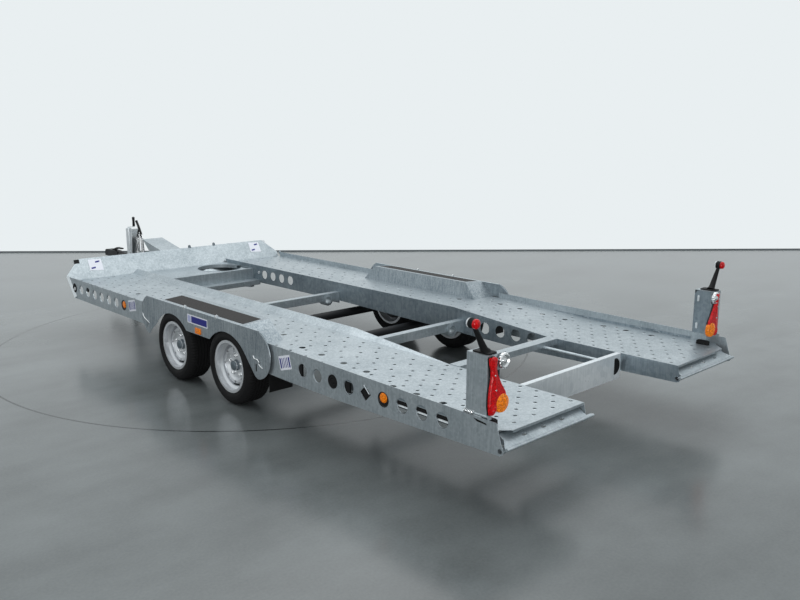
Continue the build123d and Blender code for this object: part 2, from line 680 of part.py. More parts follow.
RAMP_BOTTOM_Z = HOOK_TUBE_Z + HOOK_TUBE_DIAMETER / 2 + SEAT_GAP
RAMP_CENTRE_X = -(RAIL_INNER_X + WEB_OUTER_X) / 2


def ramp_runner():
    """Angle across the track that carries the front end of the stowed ramp."""
    top = RAMP_BOTTOM_Z - SEAT_GAP
    outline = [
        (RUNNER_Y, top),
        (RUNNER_Y + RUNNER_SIZE, top),
        (RUNNER_Y + RUNNER_SIZE, top - SHEET),
        (RUNNER_Y + SHEET, top - SHEET),
        (RUNNER_Y + SHEET, top - RUNNER_SIZE),
        (RUNNER_Y, top - RUNNER_SIZE),
    ]
    return side_prism(outline, -RAIL_INNER_X, -WEB_OUTER_X)


def ramp():
    """Left loading ramp, stowed under the deck: two sides, rungs and a sloping rear lip."""
    x0 = RAMP_CENTRE_X - RAMP_WIDTH / 2
    x1 = RAMP_CENTRE_X + RAMP_WIDTH / 2
    z0 = RAMP_BOTTOM_Z
    z1 = z0 + RAMP_THICKNESS
    rear = DECK_REAR_Y + RAMP_REAR_INSET
    front = rear + RAMP_LENGTH
    body = block(x0, x0 + RAMP_SIDE, rear, front, z0, z1)
    body += block(x1 - RAMP_SIDE, x1, rear, front, z0, z1)
    pitch = (RAMP_LENGTH - RAMP_RUNG) / (RAMP_RUNG_COUNT - 1)
    for i in range(RAMP_RUNG_COUNT):
        y = rear + i * pitch
        body += block(x0, x1, y, y + RAMP_RUNG, z0 + 8.0, z1 - 8.0)
    heel_y = HOOK_TUBE_Y - HOOK_TUBE_DIAMETER / 4
    heel_z = z1 - RAMP_LIP_THICKNESS - (rear - heel_y) * RAMP_LIP_DROP / RAMP_LIP_RUN
    heel = [(rear, z1 - RAMP_LIP_THICKNESS), (heel_y, heel_z), (heel_y, z0), (rear, z0)]
    body += side_prism(heel, x0, x0 + RAMP_SIDE) + side_prism(heel, x1 - RAMP_SIDE, x1)
    return body + toe_plate(rear, z1)


def toe_plate(rear, top):
    """Ramp's sloping rear lip, wider than the ramp behind the rail and the web."""
    t = RAMP_LIP_THICKNESS
    edge_y = rear - RAMP_LIP_RUN
    edge_z = top - RAMP_LIP_DROP
    section = [
        (rear + RAMP_RUNG, top),
        (rear, top),
        (edge_y, edge_z),
        (edge_y + t / 2, edge_z - t / 2),
        (rear, top - t),
        (rear + RAMP_RUNG, top - t),
    ]
    outer = -HALF_WIDTH + TOE_OUTER_INSET
    inner = -BAY_HALF_WIDTH + TOE_INNER_REACH
    plate = side_prism(section, outer, inner)
    plate += rod_x(outer, inner, edge_y, edge_z, RAMP_LIP_ROLL)
    side = RAMP_CENTRE_X - RAMP_WIDTH / 2
    cut_y = HOOK_TUBE_Y - HOOK_TUBE_DIAMETER / 2 - MOVING_GAP
    corner = [
        (outer, cut_y),
        (side, cut_y + side - outer),
        (side, rear + RAMP_RUNG),
        (outer, rear + RAMP_RUNG),
    ]
    low = edge_z - RAMP_LIP_ROLL
    plate -= plan_prism(corner, low, top)
    plate -= block(-WEB_OUTER_X - MOVING_GAP, inner, cut_y, rear + RAMP_RUNG, low, top)
    for i in range(TOE_SLOT_COUNT):
        x = RAMP_CENTRE_X + (i - (TOE_SLOT_COUNT - 1) / 2) * TOE_SLOT_PITCH
        slot_y = (rear + edge_y) / 2
        plate -= Pos(x, slot_y, top) * extrude(
            SlotOverall(TOE_SLOT_LENGTH, TOE_SLOT_WIDTH), amount=RAMP_LIP_DROP + t, both=True)
    return plate


def post_top_z():
    return DECK_REAR_Z + RAIL_LIP_REAR + POST_HEIGHT


HINGE_Z = rail_top_z(POST_FRONT_Y + MOVING_GAP + POST_EAR_LENGTH) + POST_KNUCKLE_DIAMETER / 2 + 1.0
HINGE_X = HALF_WIDTH - POST_HINGE_DIAMETER / 2


def lamp_post():
    """Left lamp housing: a folded channel on a hinge along the rail's top."""
    x0 = -HALF_WIDTH
    x1 = -HALF_WIDTH + POST_WIDTH
    base = HINGE_Z + POST_HINGE_DIAMETER / 2 + 1.0
    top = post_top_z()
    post = block(x0, x0 + THIN_SHEET, POST_REAR_Y, POST_FRONT_Y, base, top)
    post += block(x0, x1, POST_FRONT_Y - THIN_SHEET, POST_FRONT_Y, base, top)
    post += cross_prism(post_back(), POST_REAR_Y, POST_REAR_Y + THIN_SHEET)
    post += block(x0, x1, POST_REAR_Y, POST_FRONT_Y, top - THIN_SHEET, top)
    knuckle = rod_y(-HINGE_X, POST_REAR_Y, POST_FRONT_Y, HINGE_Z, POST_KNUCKLE_DIAMETER)
    post += knuckle + block(x0, x0 + 14.0, POST_REAR_Y, POST_FRONT_Y, HINGE_Z, base + 4.0)
    bore = POST_HINGE_DIAMETER + 2 * STUB_CLEARANCE
    post -= rod_y(-HINGE_X, POST_REAR_Y, POST_FRONT_Y, HINGE_Z, bore)
    return post


def lamp_outline(inset):
    """Outline (x, z) of the rear lamp: a narrow neck that widens downwards, then a small foot."""
    x = -HALF_WIDTH
    top = post_top_z() - LAMP_TOP_DROP
    return [
        (x, top),
        (x + LAMP_TOP_WIDTH - inset, top - inset),
        (x + LAMP_WAIST_WIDTH - inset, top - LAMP_WAIST_DROP),
        (x + LAMP_WIDE_WIDTH - inset, top - LAMP_WIDE_DROP),
        (x + LAMP_FOOT_WIDTH - inset, top - LAMP_HEIGHT + inset),
        (x, top - LAMP_HEIGHT + inset),
    ]


def post_back():
    """Outline (x, z) of the post's back plate, which follows the lamp below the knob."""
    outline = lamp_outline(POST_BACK_INSET)
    x = -HALF_WIDTH
    top = post_top_z()
    head = [(x, top), (x + POST_BACK_WIDTH, top), (x + POST_BACK_WIDTH, top - POST_BACK_DEPTH)]
    return head + outline[2:]


def post_hinge():
    """Hinge pin carried by two ears on the rail's top."""
    reach = MOVING_GAP + POST_EAR_LENGTH
    pin = rod_y(-HINGE_X, POST_REAR_Y - reach, POST_FRONT_Y + reach, HINGE_Z, POST_HINGE_DIAMETER)
    for y in (POST_REAR_Y - reach, POST_FRONT_Y + MOVING_GAP):
        front = y + POST_EAR_LENGTH
        pin += block(-HALF_WIDTH, -HALF_WIDTH + 20.0, y, front, rail_top_z(front), HINGE_Z + 8.0)
    return pin


def lamp_cluster():
    """Rear lamp of the left post, with a round lens at its inner foot."""
    y = POST_REAR_Y
    lamp = cross_prism(lamp_outline(0.0), y - LAMP_DEPTH, y)
    lens_z = post_top_z() - LAMP_TOP_DROP - LAMP_LENS_DROP
    return lamp + rod_y(-HALF_WIDTH + LAMP_LENS_X, y - LAMP_LENS_DEPTH, y, lens_z, LAMP_LENS_DIAMETER)


def stalk_lamp():
    """Double marker lamp on a tapered rubber stalk above the post, leaning out and back."""
    base = post_top_z()
    middle_y = (POST_REAR_Y + POST_FRONT_Y) / 2 - STALK_FOOT_BACK
    foot = Vector(-HALF_WIDTH + STALK_FOOT_X, middle_y, base)
    head = foot + Vector(-STALK_OUT, -STALK_BACK, STALK_HEIGHT)
    axis = head - foot
    plane = Plane(origin=foot, z_dir=axis)
    tip = Plane(origin=head, z_dir=axis)
    stalk = loft([plane * Circle(STALK_FOOT_DIAMETER / 2), tip * Circle(STALK_DIAMETER / 2)])
    reach = STALK_FOOT_DIAMETER
    stalk -= block(foot.X - reach, foot.X + reach, foot.Y - reach, foot.Y + reach, base - reach, base)
    stalk += block(
        foot.X - POST_CAP_WIDTH / 2, foot.X + POST_CAP_WIDTH / 2,
        foot.Y - POST_CAP_LENGTH / 2 + STALK_FOOT_BACK, foot.Y + POST_CAP_LENGTH / 2 + STALK_FOOT_BACK,
        base, base + POST_CAP_HEIGHT)
    half = STALK_LAMP_LENGTH / 2
    stalk += rod_y(head.X, head.Y - half, head.Y + half, head.Z, STALK_LAMP_DIAMETER)
    return stalk


# ---- mudguards and lamps -----------------------------------------------------------------

def guard_outline():
    """Edges around the left mudguard's outer skin: lobes, feet and arches are round."""
    half = AXLE_SPACING / 2
    centre_z = AXLE_Z - ARCH_DROP
    end = math.radians(ARCH_END_ANGLE)
    end_y = half + ARCH_RADIUS * math.cos(end)
    end_z = centre_z + ARCH_RADIUS * math.sin(end)
    inner_y = half - math.sqrt(ARCH_RADIUS ** 2 - (ARCH_CENTRE_Z - centre_z) ** 2)

    def at(y, z):
        return (-GUARD_OUTER_X, y, z)

    def lobe_and_foot(corner_y, side, lobe, foot_z, foot_in, foot_rise):
        corner = at(corner_y, GUARD_TOP_Z)
        out = at(corner_y + side * GUARD_FOOT_OUT, foot_z)
        foot = at(corner_y - side * foot_in, foot_z + foot_rise)
        middle = at((out[1] + foot[1]) / 2, (out[2] + foot[2]) / 2 - GUARD_FOOT_ROUND)
        return [
            ThreePointArc(corner, at(corner_y + side * lobe, GUARD_LOBE_Z), out),
            ThreePointArc(out, middle, foot),
            Line(foot, at(side * end_y, end_z)),
            ThreePointArc(
                at(side * end_y, end_z), at(side * half, centre_z + ARCH_RADIUS),
                at(side * inner_y, ARCH_CENTRE_Z)),
        ]

    front = lobe_and_foot(
        GUARD_TOP_FRONT_Y, 1, GUARD_LOBE_FRONT, GUARD_FOOT_FRONT_Z,
        GUARD_FOOT_IN_FRONT, GUARD_FOOT_RISE_FRONT)
    rear = lobe_and_foot(
        GUARD_TOP_REAR_Y, -1, GUARD_LOBE_REAR, GUARD_FOOT_REAR_Z,
        GUARD_FOOT_IN_REAR, GUARD_FOOT_RISE_REAR)
    middle = Line(at(inner_y, ARCH_CENTRE_Z), at(-inner_y, ARCH_CENTRE_Z))
    top = Line(at(GUARD_TOP_REAR_Y, GUARD_TOP_Z), at(GUARD_TOP_FRONT_Y, GUARD_TOP_Z))
    return [*front, middle, *rear, top]


def mudguard():
    """Left mudguard: an outer skin with two arches, a top and a sloping inner face."""
    skin = extrude(Face(Wire(guard_outline())), amount=THIN_SHEET, dir=(1, 0, 0))
    slots = (
        (GUARD_SLOT_FRONT_Y, GUARD_SLOT_FRONT_Z),
        (GUARD_SLOT_REAR_Y, GUARD_SLOT_REAR_Z),
    )
    for y, z in slots:
        skin -= block(
            -GUARD_OUTER_X, -GUARD_OUTER_X + THIN_SHEET, y - GUARD_SLOT_WIDTH / 2,
            y + GUARD_SLOT_WIDTH / 2, z - GUARD_SLOT_HEIGHT / 2, z + GUARD_SLOT_HEIGHT / 2)
    stations = (
        GUARD_TOP_FRONT_Y + GUARD_LOBE_FRONT / 2,
        GUARD_TOP_REAR_Y - GUARD_LOBE_REAR / 2,
    )
    for y in stations:
        skin += block(
            -GUARD_OUTER_X + THIN_SHEET, -HALF_WIDTH, y - GUARD_BRACKET_LENGTH / 2,
            y + GUARD_BRACKET_LENGTH / 2, RAIL_FRONT_HOLE_Z - GUARD_BRACKET_HEIGHT,
            RAIL_FRONT_HOLE_Z)
    return skin + guard_cover()


def guard_cover():
    """Raised cover over the wheels: a top sheet, an inner face and two sloping ends."""
    outer = -GUARD_OUTER_X + THIN_SHEET
    inner = -GUARD_INNER_X
    deck = DECK_FRONT_Z

    def shell(inset):
        front = COVER_FRONT_Y - inset
        rear = COVER_REAR_Y + inset
        low = deck - inset
        lean_x = inner - COVER_LEAN - inset
        top_front = front - COVER_FRONT_SLOPE
        top_rear = rear + COVER_REAR_SLOPE
        a = (outer, front, low)
        b = (outer, rear, low)
        c = (inner - inset, rear, low)
        d = (inner - inset, front, low)
        e = (outer, top_front, GUARD_TOP_Z - inset)
        f = (outer, top_rear, GUARD_TOP_Z - inset)
        g = (lean_x, top_rear, GUARD_INNER_TOP_Z - inset)
        h = (lean_x, top_front, GUARD_INNER_TOP_Z - inset)
        quads = [(a, b, c, d), (e, f, g, h), (a, b, f, e), (b, c, g, f), (c, d, h, g), (d, a, e, h)]
        faces = []
        for p, q, r, s in quads:
            faces.append(Face(Wire.make_polygon([p, q, r])))
            faces.append(Face(Wire.make_polygon([p, r, s])))
        return Solid(Shell(faces))

    return shell(0.0) - shell(THIN_SHEET)


def grip_strip():
    """Gritty tape on the mudguard's sloping top."""
    outer = -GUARD_OUTER_X + GRIP_MARGIN
    inner = outer + GRIP_WIDTH
    lean = (GUARD_INNER_TOP_Z - GUARD_TOP_Z) / (GUARD_OUTER_X - THIN_SHEET - GUARD_INNER_X - COVER_LEAN)

    def top_z(x):
        return GUARD_TOP_Z + (x + GUARD_OUTER_X - THIN_SHEET) * lean

    outline = [
        (outer, top_z(outer)),
        (inner, top_z(inner)),
        (inner, top_z(inner) + GRIP_THICKNESS),
        (outer, top_z(outer) + GRIP_THICKNESS),
    ]
    return cross_prism(outline, GRIP_REAR_Y, GRIP_FRONT_Y)


def mudflap():
    y = BAY_REAR_Y - MUDFLAP_SETBACK
    return block(
        -TYRE_OUTER_X + MUDFLAP_INSET, -TYRE_INNER_X, y, y + MUDFLAP_THICKNESS,
        MUDFLAP_BOTTOM_Z, deck_z(y) - SHEET)


# ---- axles, springs, wheels --------------------------------------------------------------

def axle(y):
    """Axle tube with its spring pads, brake backplates and wheel stubs."""
    inner = TYRE_INNER_X - 60.0
    tube = rod_x(-inner, inner, y, AXLE_Z, AXLE_TUBE)
    tube -= rod_x(-inner + 10.0, inner - 10.0, y, AXLE_Z, AXLE_TUBE - 2 * AXLE_TUBE_WALL)
    disc_x = WHEEL_FACE_X - DISC_INSET - DISC_THICKNESS
    drum_inner = disc_x - DRUM_WIDTH
    for side in (-1, 1):
        plate_x = side * (drum_inner - 3.0)
        tube += rod_x(plate_x - side * BACKPLATE_THICKNESS, plate_x, y, AXLE_Z, DRUM_DIAMETER + 14.0)
        tube += rod_x(side * (inner - 10.0), side * (disc_x + 20.0), y, AXLE_Z, STUB_DIAMETER)
    return tube


def leaf_springs():
    """Left pair of springs, one over each axle, with their hangers under the track."""
    parts = None
    for y in (-AXLE_SPACING / 2, AXLE_SPACING / 2):
        z = AXLE_Z + AXLE_TUBE / 2
        stack = None
        for i in range(LEAF_COUNT):
            half = SPRING_HALF_SPAN * (1.0 - 0.22 * i)
            level = z + (LEAF_COUNT - 1 - i) * LEAF_THICKNESS
            leaf = block(
                -SPRING_X - SPRING_WIDTH / 2, -SPRING_X + SPRING_WIDTH / 2,
                y - half, y + half, level, level + LEAF_THICKNESS)
            stack = leaf if stack is None else stack + leaf
        parts = stack if parts is None else parts + stack
    top_leaf = AXLE_Z + AXLE_TUBE / 2 + LEAF_COUNT * LEAF_THICKNESS
    stations = (
        -AXLE_SPACING / 2 - SPRING_HALF_SPAN + 20.0,
        0.0,
        AXLE_SPACING / 2 + SPRING_HALF_SPAN - 20.0,
    )
    for y in stations:
        width = 70.0 if y else 190.0
        for x in (-SPRING_X - SPRING_WIDTH / 2 - HANGER_THICKNESS, -SPRING_X + SPRING_WIDTH / 2):
            parts += block(
                x, x + HANGER_THICKNESS, y - width / 2, y + width / 2,
                top_leaf - 40.0, DECK_FRONT_Z - SHEET)
    return parts


def rim():
    """Left wheel's steel rim with its dished disc, hub and brake drum."""
    outer = -WHEEL_FACE_X
    inner = outer + RIM_WIDTH
    flange = RIM_DIAMETER / 2
    seat = RIM_SEAT_DIAMETER / 2
    well = RIM_WELL_DIAMETER / 2
    wall = RIM_WALL
    barrel = [
        (outer, flange),
        (outer + RIM_FLANGE, flange),
        (outer + RIM_FLANGE, seat),
        (outer + 34.0, seat - 2.0),
        (outer + 46.0, well),
        (outer + 86.0, well),
        (outer + 98.0, seat - 2.0),
        (inner - RIM_FLANGE, seat),
        (inner - RIM_FLANGE, flange),
        (inner, flange),
        (inner, seat - wall),
        (inner - RIM_FLANGE, seat - wall),
        (outer + 102.0, seat - 2.0 - wall),
        (outer + 90.0, well - wall),
        (outer + 42.0, well - wall),
        (outer + 30.0, seat - 2.0 - wall),
        (outer, seat - wall),
    ]
    face = outer + DISC_INSET
    dish = DISC_DISH
    t = DISC_THICKNESS
    hub = HUB_DIAMETER / 2
    disc = [
        (face, hub),
        (face, 86.0),
        (face - dish, 104.0),
        (face - dish, 122.0),
        (face + 6.0, well - wall + 1.0),
        (face + 6.0 + t, well - wall + 1.0),
        (face - dish + t, 122.0 - 2.0),
        (face - dish + t, 104.0 + 2.0),
        (face + t, 86.0 + 2.0),
        (face + t, hub),
    ]
    stub = STUB_DIAMETER / 2 + STUB_CLEARANCE
    drum_outer = face + t
    hub_profile = [
        (face - 30.0, 0.0),
        (face - 30.0, hub - 8.0),
        (face - 22.0, hub),
        (drum_outer, hub),
        (drum_outer, DRUM_DIAMETER / 2),
        (drum_outer + DRUM_WIDTH, DRUM_DIAMETER / 2),
        (drum_outer + DRUM_WIDTH, DRUM_DIAMETER / 2 - 8.0),
        (drum_outer + 8.0, DRUM_DIAMETER / 2 - 8.0),
        (drum_outer + 8.0, hub),
        (drum_outer + DRUM_WIDTH - 6.0, hub),
        (drum_outer + DRUM_WIDTH - 6.0, stub),
        (face - 20.0, stub),
        (face - 20.0, 0.0),
    ]
    body = turned_x(barrel, 0, 0) + turned_x(disc, 0, 0) + turned_x(hub_profile, 0, 0)
    for i in range(HAND_HOLE_COUNT):
        angle = 2 * math.pi * i / HAND_HOLE_COUNT
        y, z = 113.0 * math.cos(angle), 113.0 * math.sin(angle)
        body -= rod_x(face - dish - 2.0, face - dish + t + 1.0, y, z, HAND_HOLE_DIAMETER * 0.6)
    for i in range(STUD_COUNT):
        angle = 2 * math.pi * i / STUD_COUNT + 0.3
        y, z = STUD_CIRCLE / 2 * math.cos(angle), STUD_CIRCLE / 2 * math.sin(angle)
        body += rod_x(face - 16.0, face + 1.0, y, z, STUD_DIAMETER)
    return body


def tyre():
    outer = -TYRE_OUTER_X
    inner = -TYRE_INNER_X
    crown = TYRE_DIAMETER / 2
    seat = RIM_SEAT_DIAMETER / 2
    lip = -WHEEL_FACE_X + RIM_FLANGE
    far = -WHEEL_FACE_X + RIM_WIDTH - RIM_FLANGE
    profile = [
        (lip, seat),
        (lip, seat + 16.0),
        (outer + 4.0, seat + 26.0),
        (outer, seat + 42.0),
        (outer + 6.0, crown - 26.0),
        (outer + 20.0, crown - 6.0),
        (outer + 34.0, crown),
        (inner - 34.0, crown),
        (inner - 20.0, crown - 6.0),
        (inner - 6.0, crown - 26.0),
        (inner, seat + 42.0),
        (inner - 4.0, seat + 26.0),
        (far, seat + 16.0),
        (far, seat),
    ]
    return turned_x(profile, 0, 0)


# ---- drawbar, coupling and jockey wheel --------------------------------------------------

def drawbar_arm():
    """Left arm of the drawbar, from under the bay to the damper housing."""
    start = Vector(-ARM_REAR_X, ARM_REAR_Y, ARM_TOP_Z - ARM_HEIGHT / 2)
    end = Vector(-ARM_FRONT_X, ARM_FRONT_Y, ARM_TOP_Z - ARM_HEIGHT / 2)
    axis = end - start
    plane = Plane(origin=start, x_dir=(axis.Y, -axis.X, 0), z_dir=axis)
    outer = Rectangle(ARM_WIDTH, ARM_HEIGHT)
    inner = Rectangle(ARM_WIDTH - 8.0, ARM_HEIGHT - 8.0)
    return extrude(plane * (outer - inner), amount=axis.length)


def damper_body():
    """Housing of the overrun damper, bolted on the arms' front ends."""
    rear = DAMPER_REAR_Y
    front = COUPLING_TIP_Y - HEAD_LENGTH
    width = 2 * ARM_FRONT_X + ARM_WIDTH
    body = rod_y(0, rear, front, COUPLING_Z, DAMPER_DIAMETER)
    body += block(-width / 2, width / 2, rear - 200.0, rear + 60.0, ARM_TOP_Z, ARM_TOP_Z + DAMPER_PLATE)
    body += block(-45.0, 45.0, rear, rear + 300.0, ARM_TOP_Z, COUPLING_Z + 10.0)
    return body


def coupling_head():
    """Ball coupling: a pressed head with its handle, on the drawtube's front end."""
    rear = COUPLING_TIP_Y - HEAD_LENGTH
    z = COUPLING_Z
    shape = [
        (rear, z - 30.0),
        (COUPLING_TIP_Y - 95.0, z - HEAD_HEIGHT / 2),
        (COUPLING_TIP_Y - 10.0, z - HEAD_HEIGHT / 2),
        (COUPLING_TIP_Y, z),
        (COUPLING_TIP_Y - 25.0, z + 34.0),
        (COUPLING_TIP_Y - 90.0, z + 40.0),
        (rear + 60.0, z + 36.0),
        (rear, z + 30.0),
    ]
    head = side_prism(shape, -HEAD_WIDTH / 2, HEAD_WIDTH / 2)
    ball_y = COUPLING_TIP_Y - 52.0
    radius = BALL_DIAMETER / 2 + BALL_CLEARANCE
    head -= Pos(0, ball_y, z - 6.0) * Sphere(radius)
    head -= rod_z(0, ball_y, z - HEAD_HEIGHT, z - 6.0, 2 * radius)
    handle = [
        (rear + 150.0, z + 34.0),
        (rear + 40.0, z + 62.0),
        (rear - 60.0, z + 66.0),
        (rear - 60.0, z + 80.0),
        (rear + 60.0, z + 78.0),
        (rear + 200.0, z + 38.0),
    ]
    return head + side_prism(handle, -14.0, 14.0)


def handbrake_lever():
    """Parking brake lever that leans forward, on its upright plate."""
    rear = DAMPER_REAR_Y
    base = ARM_TOP_Z + DAMPER_PLATE
    lever = side_prism(
        [
            (rear - 60.0, base),
            (rear + 10.0, base),
            (rear + 20.0, LEVER_KNEE_Z),
            (rear + 100.0, LEVER_TOP_Z),
            (rear + 76.0, LEVER_TOP_Z + 4.0),
            (rear - 30.0, LEVER_KNEE_Z),
        ],
        LEVER_X - LEVER_THICKNESS / 2, LEVER_X + LEVER_THICKNESS / 2,
    )
    left = LEVER_X - LEVER_THICKNESS / 2
    plate = [
        (left, base),
        (left, BRAKE_POST_TOP_Z),
        (left - BRAKE_POST_TOP_WIDTH, BRAKE_POST_TOP_Z),
        (left - BRAKE_POST_WIDTH, BRAKE_POST_WIDE_Z),
        (left - BRAKE_POST_FOOT_WIDTH, base),
    ]
    return lever + cross_prism(plate, BRAKE_POST_Y, BRAKE_POST_Y + HANGER_THICKNESS)


def jockey_tube():
    x, y = JOCKEY_X, JOCKEY_Y
    bore = JOCKEY_BORE
    tube = rod_z(x, y, JOCKEY_TUBE_BOTTOM_Z, JOCKEY_TUBE_TOP_Z, JOCKEY_TUBE_DIAMETER)
    clamp_z = COUPLING_Z
    tube += block(x, -45.0, y - 28.0, y + 28.0, clamp_z - 20.0, clamp_z + 8.0)
    tube -= rod_z(x, y, JOCKEY_TUBE_BOTTOM_Z, JOCKEY_TUBE_TOP_Z - 12.0, bore)
    tube += rod_z(x, y, JOCKEY_TUBE_TOP_Z, JOCKEY_TUBE_TOP_Z + 12.0, 20.0)
    tube += block(
        x - 8.0, x + WINDER_REACH + 8.0, y - 6.0, y + 6.0,
        JOCKEY_TUBE_TOP_Z + 8.0, JOCKEY_TUBE_TOP_Z + 14.0)
    tube += rod_z(
        x + WINDER_REACH, y, JOCKEY_TUBE_TOP_Z + 14.0, JOCKEY_TUBE_TOP_Z + WINDER_HEIGHT,
        WINDER_GRIP_DIAMETER)
    return tube


def jockey_leg():
    """Inner leg that winds up and down inside the tube."""
    foot = FORK_TOP_Z + FORK_THICKNESS + SEAT_GAP
    return rod_z(JOCKEY_X, JOCKEY_Y, foot, JOCKEY_LEG_TOP_Z, JOCKEY_BORE - 2 * SEAT_GAP)


def jockey_fork():
    x, y = JOCKEY_X, JOCKEY_Y
    half = JOCKEY_WHEEL_WIDTH / 2 + MOVING_GAP
    axle_y = y - JOCKEY_TRAIL
    fork = block(
        x - half - FORK_THICKNESS, x + half + FORK_THICKNESS, axle_y - 20.0, y + 30.0,
        FORK_TOP_Z, FORK_TOP_Z + FORK_THICKNESS)
    cheek = [
        (y + 30.0, FORK_TOP_Z + FORK_THICKNESS),
        (axle_y - 20.0, FORK_TOP_Z + FORK_THICKNESS),
        (axle_y - 20.0, JOCKEY_AXLE_Z - 14.0),
        (axle_y + 20.0, JOCKEY_AXLE_Z - 14.0),
    ]
    fork += side_prism(cheek, x - half - FORK_THICKNESS, x - half)
    fork += side_prism(cheek, x + half, x + half + FORK_THICKNESS)
    reach = half + FORK_THICKNESS + 6.0
    return fork + rod_x(x - reach, x + reach, axle_y, JOCKEY_AXLE_Z, JOCKEY_PIN)


def jockey_wheel():
    x = JOCKEY_X
    y = JOCKEY_Y - JOCKEY_TRAIL
    half = JOCKEY_WHEEL_WIDTH / 2
    r = JOCKEY_WHEEL_DIAMETER / 2
    bore = JOCKEY_PIN / 2 + STUB_CLEARANCE
    profile = [
        (x - half, bore),
        (x - half, 24.0),
        (x - half + 14.0, 28.0),
        (x - half + 14.0, r - 34.0),
        (x - half + 2.0, r - 28.0),
        (x - half, r - 12.0),
        (x - half + 10.0, r),
        (x + half - 10.0, r),
        (x + half, r - 12.0),
        (x + half - 2.0, r - 28.0),
        (x + half - 14.0, r - 34.0),
        (x + half - 14.0, 28.0),
        (x + half, 24.0),
        (x + half, bore),
    ]
    return turned_x(profile, y, JOCKEY_AXLE_Z)


def winch_mount():
    """Sloping channel that rises forward from the headboard, carried by the drawbar."""
    half = WINCH_WIDTH / 2
    front = (WINCH_TOP_Y, WINCH_TOP_Z)
    rear = (WINCH_REAR_Y, WINCH_REAR_Z)
    top = side_prism(
        [front, rear, (rear[0], rear[1] - SHEET), (front[0], front[1] - SHEET)], -half, half)
    cheek = [
        front,
        rear,
        (WINCH_REAR_Y, ARM_TOP_Z),
        (WINCH_REAR_Y + WINCH_FOOT_LENGTH, ARM_TOP_Z),
        (WINCH_TOP_Y - 125.0, WINCH_TOP_Z - 100.0),
    ]
    top += side_prism(cheek, -half, -half + SHEET)
    top += side_prism(cheek, half - SHEET, half)
    foot = block(
        -half - WINCH_FOOT_REACH, half + WINCH_FOOT_REACH, WINCH_REAR_Y,
        WINCH_REAR_Y + WINCH_FOOT_LENGTH, ARM_TOP_Z, ARM_TOP_Z + SHEET)
    return top + foot


# ---- small lamps -------------------------------------------------------------------------

def marker_lamps():
    """Amber side lamps in their rail holes, and the reflector between the wheels."""
    front_holes, rear_holes = rail_hole_stations()
    places = ((front_holes[-2], RAIL_FRONT_HOLE_Z), (rear_holes[3], RAIL_REAR_HOLE_Z))
    lamps = None
    for y, z in places:
        lamp = rod_x(-HALF_WIDTH - 8.0, -RAIL_INNER_X, y, z, 60.0)
        lamp += block(-RAIL_INNER_X, -RAIL_INNER_X + 4.0, y - HOLE_DIAMETER / 2 - 6.0,
                      y + HOLE_DIAMETER / 2 + 6.0, z - HOLE_DIAMETER / 2, z + 20.0)
        lamps = lamp if lamps is None else lamps + lamp
    reflector = block(-GUARD_OUTER_X - 6.0, -GUARD_OUTER_X, -26.0, 26.0, 425.0, 462.0)
    return lamps + reflector


def front_lamp():
    """White marker lamp outside the headboard's upper corner."""
    top = DECK_FRONT_Z + HEADBOARD_HEIGHT - 6.0
    low = top - FRONT_LAMP_HEIGHT
    front = headboard_front_y(top) + FRONT_LAMP_DEPTH
    outline = [(headboard_front_y(low), low), (headboard_front_y(top), top), (front, top), (front, low)]
    return side_prism(outline, -HEADBOARD_TOP_HALF - FRONT_LAMP_WIDTH, -HEADBOARD_TOP_HALF)


# ---- assembly ----------------------------------------------------------------------------

def both_sides(nodes, name, part):
    nodes[name + "_left"] = part
    nodes[name + "_right"] = right_of(part)


def build():
    nodes = {}
    both_sides(nodes, "side_rail", side_rail())
    both_sides(nodes, "inner_web", inner_web())
    both_sides(nodes, "track_deck", track_deck())
    nodes["front_deck"] = front_deck()
    nodes["headboard"] = headboard()
    nodes["front_valance"] = front_valance()
    nodes["front_crossmember"] = front_crossmember()
    nodes["bay_beam_front"] = bay_beam(FRONT_BEAM_Y)
    nodes["bay_beam_middle"] = bay_beam(MIDDLE_BEAM_Y)
    nodes["angle_crossmember"] = angle_crossmember()
    nodes["rear_crossmember"] = rear_crossmember()
    nodes["tie_tube"] = tie_tube()
    tubes = hook_tube() + ramp_runner()
    nodes["ramp_supports"] = tubes + right_of(tubes)
    both_sides(nodes, "loading_ramp", ramp())
    both_sides(nodes, "lamp_post", lamp_post())
    both_sides(nodes, "rear_lamp", lamp_cluster() + stalk_lamp())
    hinge = post_hinge()
    nodes["lamp_post_hinges"] = hinge + right_of(hinge)
    both_sides(nodes, "mudguard", mudguard())
    strip = grip_strip()
    nodes["grip_strips"] = strip + right_of(strip)
    flap = mudflap()
    nodes["mudflaps"] = flap + right_of(flap)
    half = AXLE_SPACING / 2
    nodes["axle_front"] = axle(half)
    nodes["axle_rear"] = axle(-half)
    both_sides(nodes, "leaf_springs", leaf_springs())
    wheel_rim = rim()
    wheel_tyre = tyre()
    for end, y in (("front", half), ("rear", -half)):
        both_sides(nodes, "rim_" + end, Pos(0, y, AXLE_Z) * wheel_rim)
        both_sides(nodes, "tyre_" + end, Pos(0, y, AXLE_Z) * wheel_tyre)
    both_sides(nodes, "drawbar_arm", drawbar_arm())
    nodes["damper_body"] = damper_body()
    nodes["coupling_head"] = coupling_head()
    nodes["handbrake_lever"] = handbrake_lever()
    nodes["winch_mount"] = winch_mount()
    nodes["jockey_tube"] = jockey_tube()
    nodes["jockey_leg"] = jockey_leg()
    nodes["jockey_fork"] = jockey_fork()
    nodes["jockey_wheel"] = jockey_wheel()
    side_lamps = marker_lamps()
    nodes["side_lamps"] = side_lamps + right_of(side_lamps)
    lamp = front_lamp()
    nodes["front_lamps"] = lamp + right_of(lamp)
    return {name: Pos(0, SHIFT_Y, 0) * part for name, part in nodes.items()}


NODES = build()

